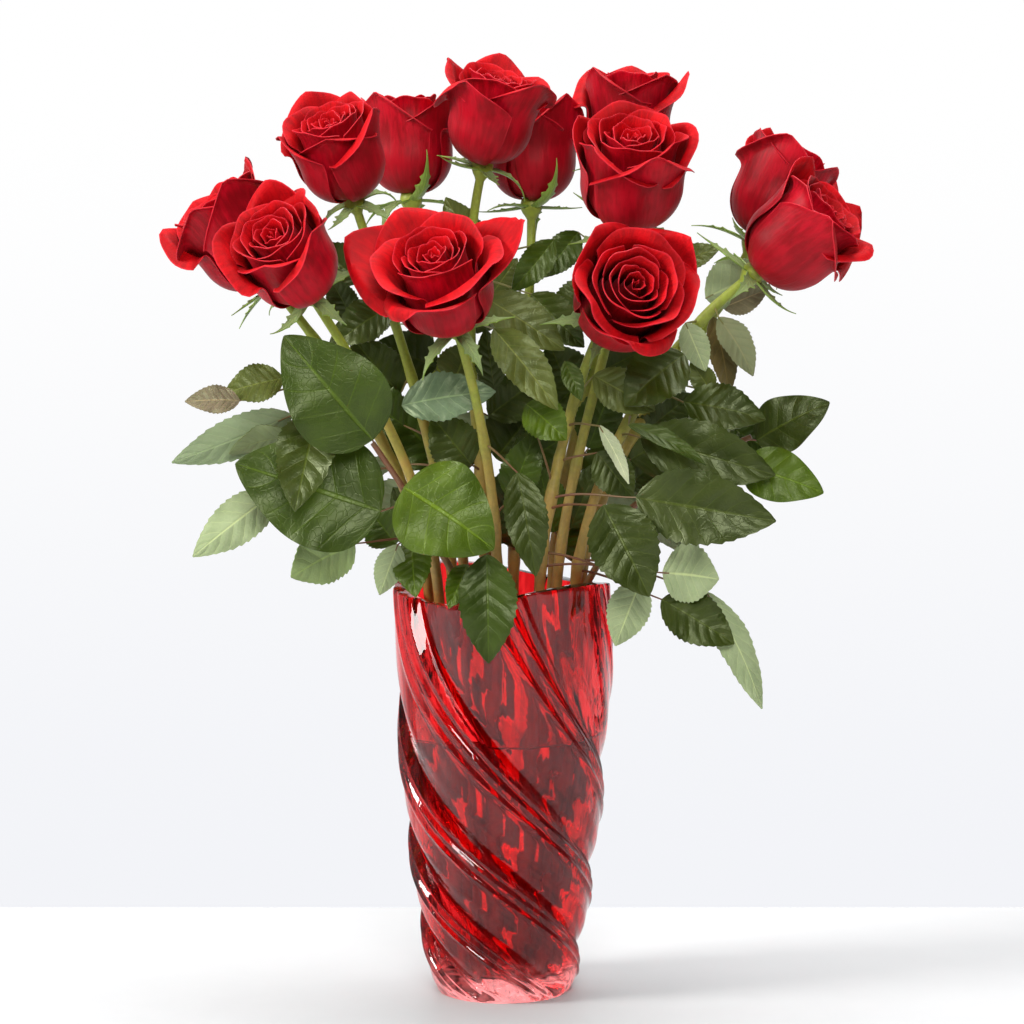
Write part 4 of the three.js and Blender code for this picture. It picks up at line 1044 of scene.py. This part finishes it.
class ROSE_VASE_OT_stems(bpy.types.Operator):
    """Add the rose stems with their sepals and toothed leaves"""

    bl_idname = "rose_vase.stems"
    bl_label = "Rose Stems"

    def execute(self, context):
        greenery = context.scene.greenery_settings
        thickness = greenery.leaf_thickness
        stem = stem_material("Rose Stem", greenery.stem_above, greenery.stem_below, 0.33)
        stalk = stem_material("Leaf Stalk", greenery.stalk, greenery.twig, 0.33)
        upper = leaf_material("Rose Leaf", 7, 1, 0.29, 0.35, 0.22)
        under = leaf_material("Rose Leaf Underside", 7, 1, 0.5, 0.5, 0.3, under=True)
        for number, rose in enumerate(ROSES):
            end = point(*rose["hip"]) - unit(rose["face"]) * HIP_HEIGHT
            line = stem_line(rose["neck"], rose["foot"], end, rose["face"])
            leaves = ROSE_LEAVES[number + 1]
            pieces = [add_rose_stem(rose, line, leaves, stem)]
            for count in range(SEPALS):
                pieces.append(add_sepal(rose, number, count, (upper, under), thickness))
            for count, leaf in enumerate(leaves):
                pieces += add_leaf(leaf, "rose", line, number * 10 + count, (upper, under, stalk), thickness)
            gather(f"stem_{number + 1:02d}", pieces, f"rose_{number + 1:02d}_stem")
        return {"FINISHED"}


class ROSE_VASE_OT_sprays(bpy.types.Operator):
    """Add the two twigs of broad, smooth-edged leaves"""

    bl_idname = "rose_vase.sprays"
    bl_label = "Broad-leaved Sprays"

    def execute(self, context):
        greenery = context.scene.greenery_settings
        thickness = greenery.leaf_thickness
        bark = stem_material("Twig", greenery.twig, greenery.stem_below, 0.24)
        upper = leaf_material("Broad Leaf", 5, 1.35, 0.32, 0.45, 0.28)
        under = leaf_material("Broad Leaf Underside", 5, 1.35, 0.5, 0.5, 0.3, under=True)
        for number, twig in enumerate(TWIGS):
            line = twig_line(twig)
            radii = mix(TWIG_FOOT_RADIUS, TWIG_TOP_RADIUS, np.linspace(0, 1, len(line)))
            pieces = [dress(add_tube(line, radii, TWIG_SIDES), bark)]
            for count, leaf in enumerate(TWIG_LEAVES[number], number * 10 + TWIG_DRAWS):
                pieces += add_leaf(leaf, "broad", line, count, (upper, under, bark), thickness)
            gather(f"spray_{number + 1}", pieces, f"broad_leaf_spray_{number + 1}")
        return {"FINISHED"}


# ---- Stage ----
TABLE_SIZE = (6, 2.4, 0.04)
LIGHTS_AIM = (0, 0, 0.3)
CAMERA_PLACE = (0.005, -3, 0.73)
CAMERA_DIP = 8.643  # degrees that the camera looks down
CAMERA_LENS = 190


def add_softbox(name, place, width, height, power, tone):
    bpy.ops.object.light_add(type="AREA", location=place)
    box = bpy.context.object
    box.name = name
    box.rotation_euler = (Vector(LIGHTS_AIM) - Vector(place)).to_track_quat("-Z", "Y").to_euler()
    box.data.shape = "RECTANGLE"
    box.data.size = width
    box.data.size_y = height
    box.data.energy = power
    box.data.color = tone


class ROSE_VASE_OT_stage(bpy.types.Operator):
    """Add the table, the pale surroundings, the lights and the camera"""

    bl_idname = "rose_vase.stage"
    bl_label = "Stage"

    def execute(self, context):
        stage = context.scene.stage_settings
        select_only()
        wide, deep, thick = TABLE_SIZE
        bpy.ops.mesh.primitive_cube_add(size=1, location=(0, stage.table_back - deep / 2, -thick / 2))
        table = bpy.context.object
        table.name = "table"
        table.scale = (wide, deep, thick)
        bpy.ops.object.transform_apply(location=True, rotation=True, scale=True)
        bevel = table.modifiers.new("Edge", "BEVEL")
        bevel.width = 0.003
        bevel.segments = 3
        bpy.ops.object.modifier_apply(modifier=bevel.name)
        top = Shader(bpy.data.materials.new("Table Top"))
        grain = top.noise(top.place(), TABLE_GRAIN)
        tone = top.blend(grain.step(0.3, 0.7), stage.table, [c * 0.985 for c in stage.table])
        dress(table, top.finish(base_color=tone, roughness=0.5, specular_ior_level=0.2))

        context.scene.world = bpy.data.worlds.new("Studio")
        studio = Shader(context.scene.world, "Background")
        x, y, z = studio.parts(studio.node("ShaderNodeTexCoord", {}, {}, "Generated"))
        # Dim in front, with a pale wall at the left, a soft ceiling and a bright wall behind.
        around = studio.blend(y.step(-0.5, -0.95), (0.05, 0.05, 0.052), (0.08, 0.08, 0.082))
        around = studio.blend(x.step(-0.74, -0.95), around, (0.7, 0.7, 0.71))
        around = studio.blend(z.step(0.3, 0.95), around, (0.26, 0.26, 0.262))
        around = studio.blend(y.step(0.45, 0.85), around, (0.95, 0.96, 0.975))
        seen = studio.node("ShaderNodeLightPath", {}, {}, "Is Camera Ray")
        shown = studio.blend(z.step(-0.22, -0.07), stage.backdrop, (1, 1, 1))
        studio.finish(color=studio.blend(seen, around, shown))

        add_softbox("key_softbox", (-3.8, -1.2, 2.2), 1.3, 1.3, stage.key_power, (1, 0.985, 0.955))
        add_softbox("top_softbox", (0.2, 0.4, 3.2), 2.4, 2, stage.top_power, (1, 1, 1))
        add_softbox("front_softbox", (0.2, -2.8, 1.75), 1.3, 0.9, stage.front_power, (1, 1, 0.98))

        bpy.ops.object.camera_add(location=CAMERA_PLACE)
        camera = bpy.context.object
        camera.name = "camera"
        camera.rotation_euler = (radians(90 - CAMERA_DIP), 0, 0)
        camera.data.lens = CAMERA_LENS
        camera.data.sensor_width = 36
        camera.data.clip_end = 100
        context.scene.camera = camera
        context.scene.view_settings.view_transform = "Standard"
        return {"FINISHED"}


# ---- Add-on ----
GROUPS = {
    "vase_settings": VaseSettings,
    "bloom_settings": BloomSettings,
    "greenery_settings": GreenerySettings,
    "stage_settings": StageSettings,
}
OPERATORS = (
    ROSE_VASE_OT_vase,
    ROSE_VASE_OT_water,
    ROSE_VASE_OT_stems,
    ROSE_VASE_OT_sprays,
    ROSE_VASE_OT_blooms,
    ROSE_VASE_OT_stage,
)


class VIEW3D_PT_rose_vase(bpy.types.Panel):
    bl_label = "Roses in a Vase"
    bl_space_type = "VIEW_3D"
    bl_region_type = "UI"
    bl_category = "Rose Vase"

    def draw(self, context):
        for name, group in GROUPS.items():
            column = self.layout.column(heading=group.__name__)
            for key in group.__annotations__:
                column.prop(getattr(context.scene, name), key)
        for operator in OPERATORS:
            self.layout.operator(operator.bl_idname)


CLASSES = (*GROUPS.values(), *OPERATORS, VIEW3D_PT_rose_vase)


def register():
    for each in CLASSES:
        bpy.utils.register_class(each)
    for name, group in GROUPS.items():
        setattr(bpy.types.Scene, name, bpy.props.PointerProperty(type=group))


def unregister():
    for name in GROUPS:
        delattr(bpy.types.Scene, name)
    for each in reversed(CLASSES):
        bpy.utils.unregister_class(each)


def main():
    register()
    bpy.ops.rose_vase.vase()
    bpy.ops.rose_vase.water()
    bpy.ops.rose_vase.stems()
    bpy.ops.rose_vase.sprays()
    bpy.ops.rose_vase.blooms()
    bpy.ops.rose_vase.stage()


if __name__ == "__main__":
    main()
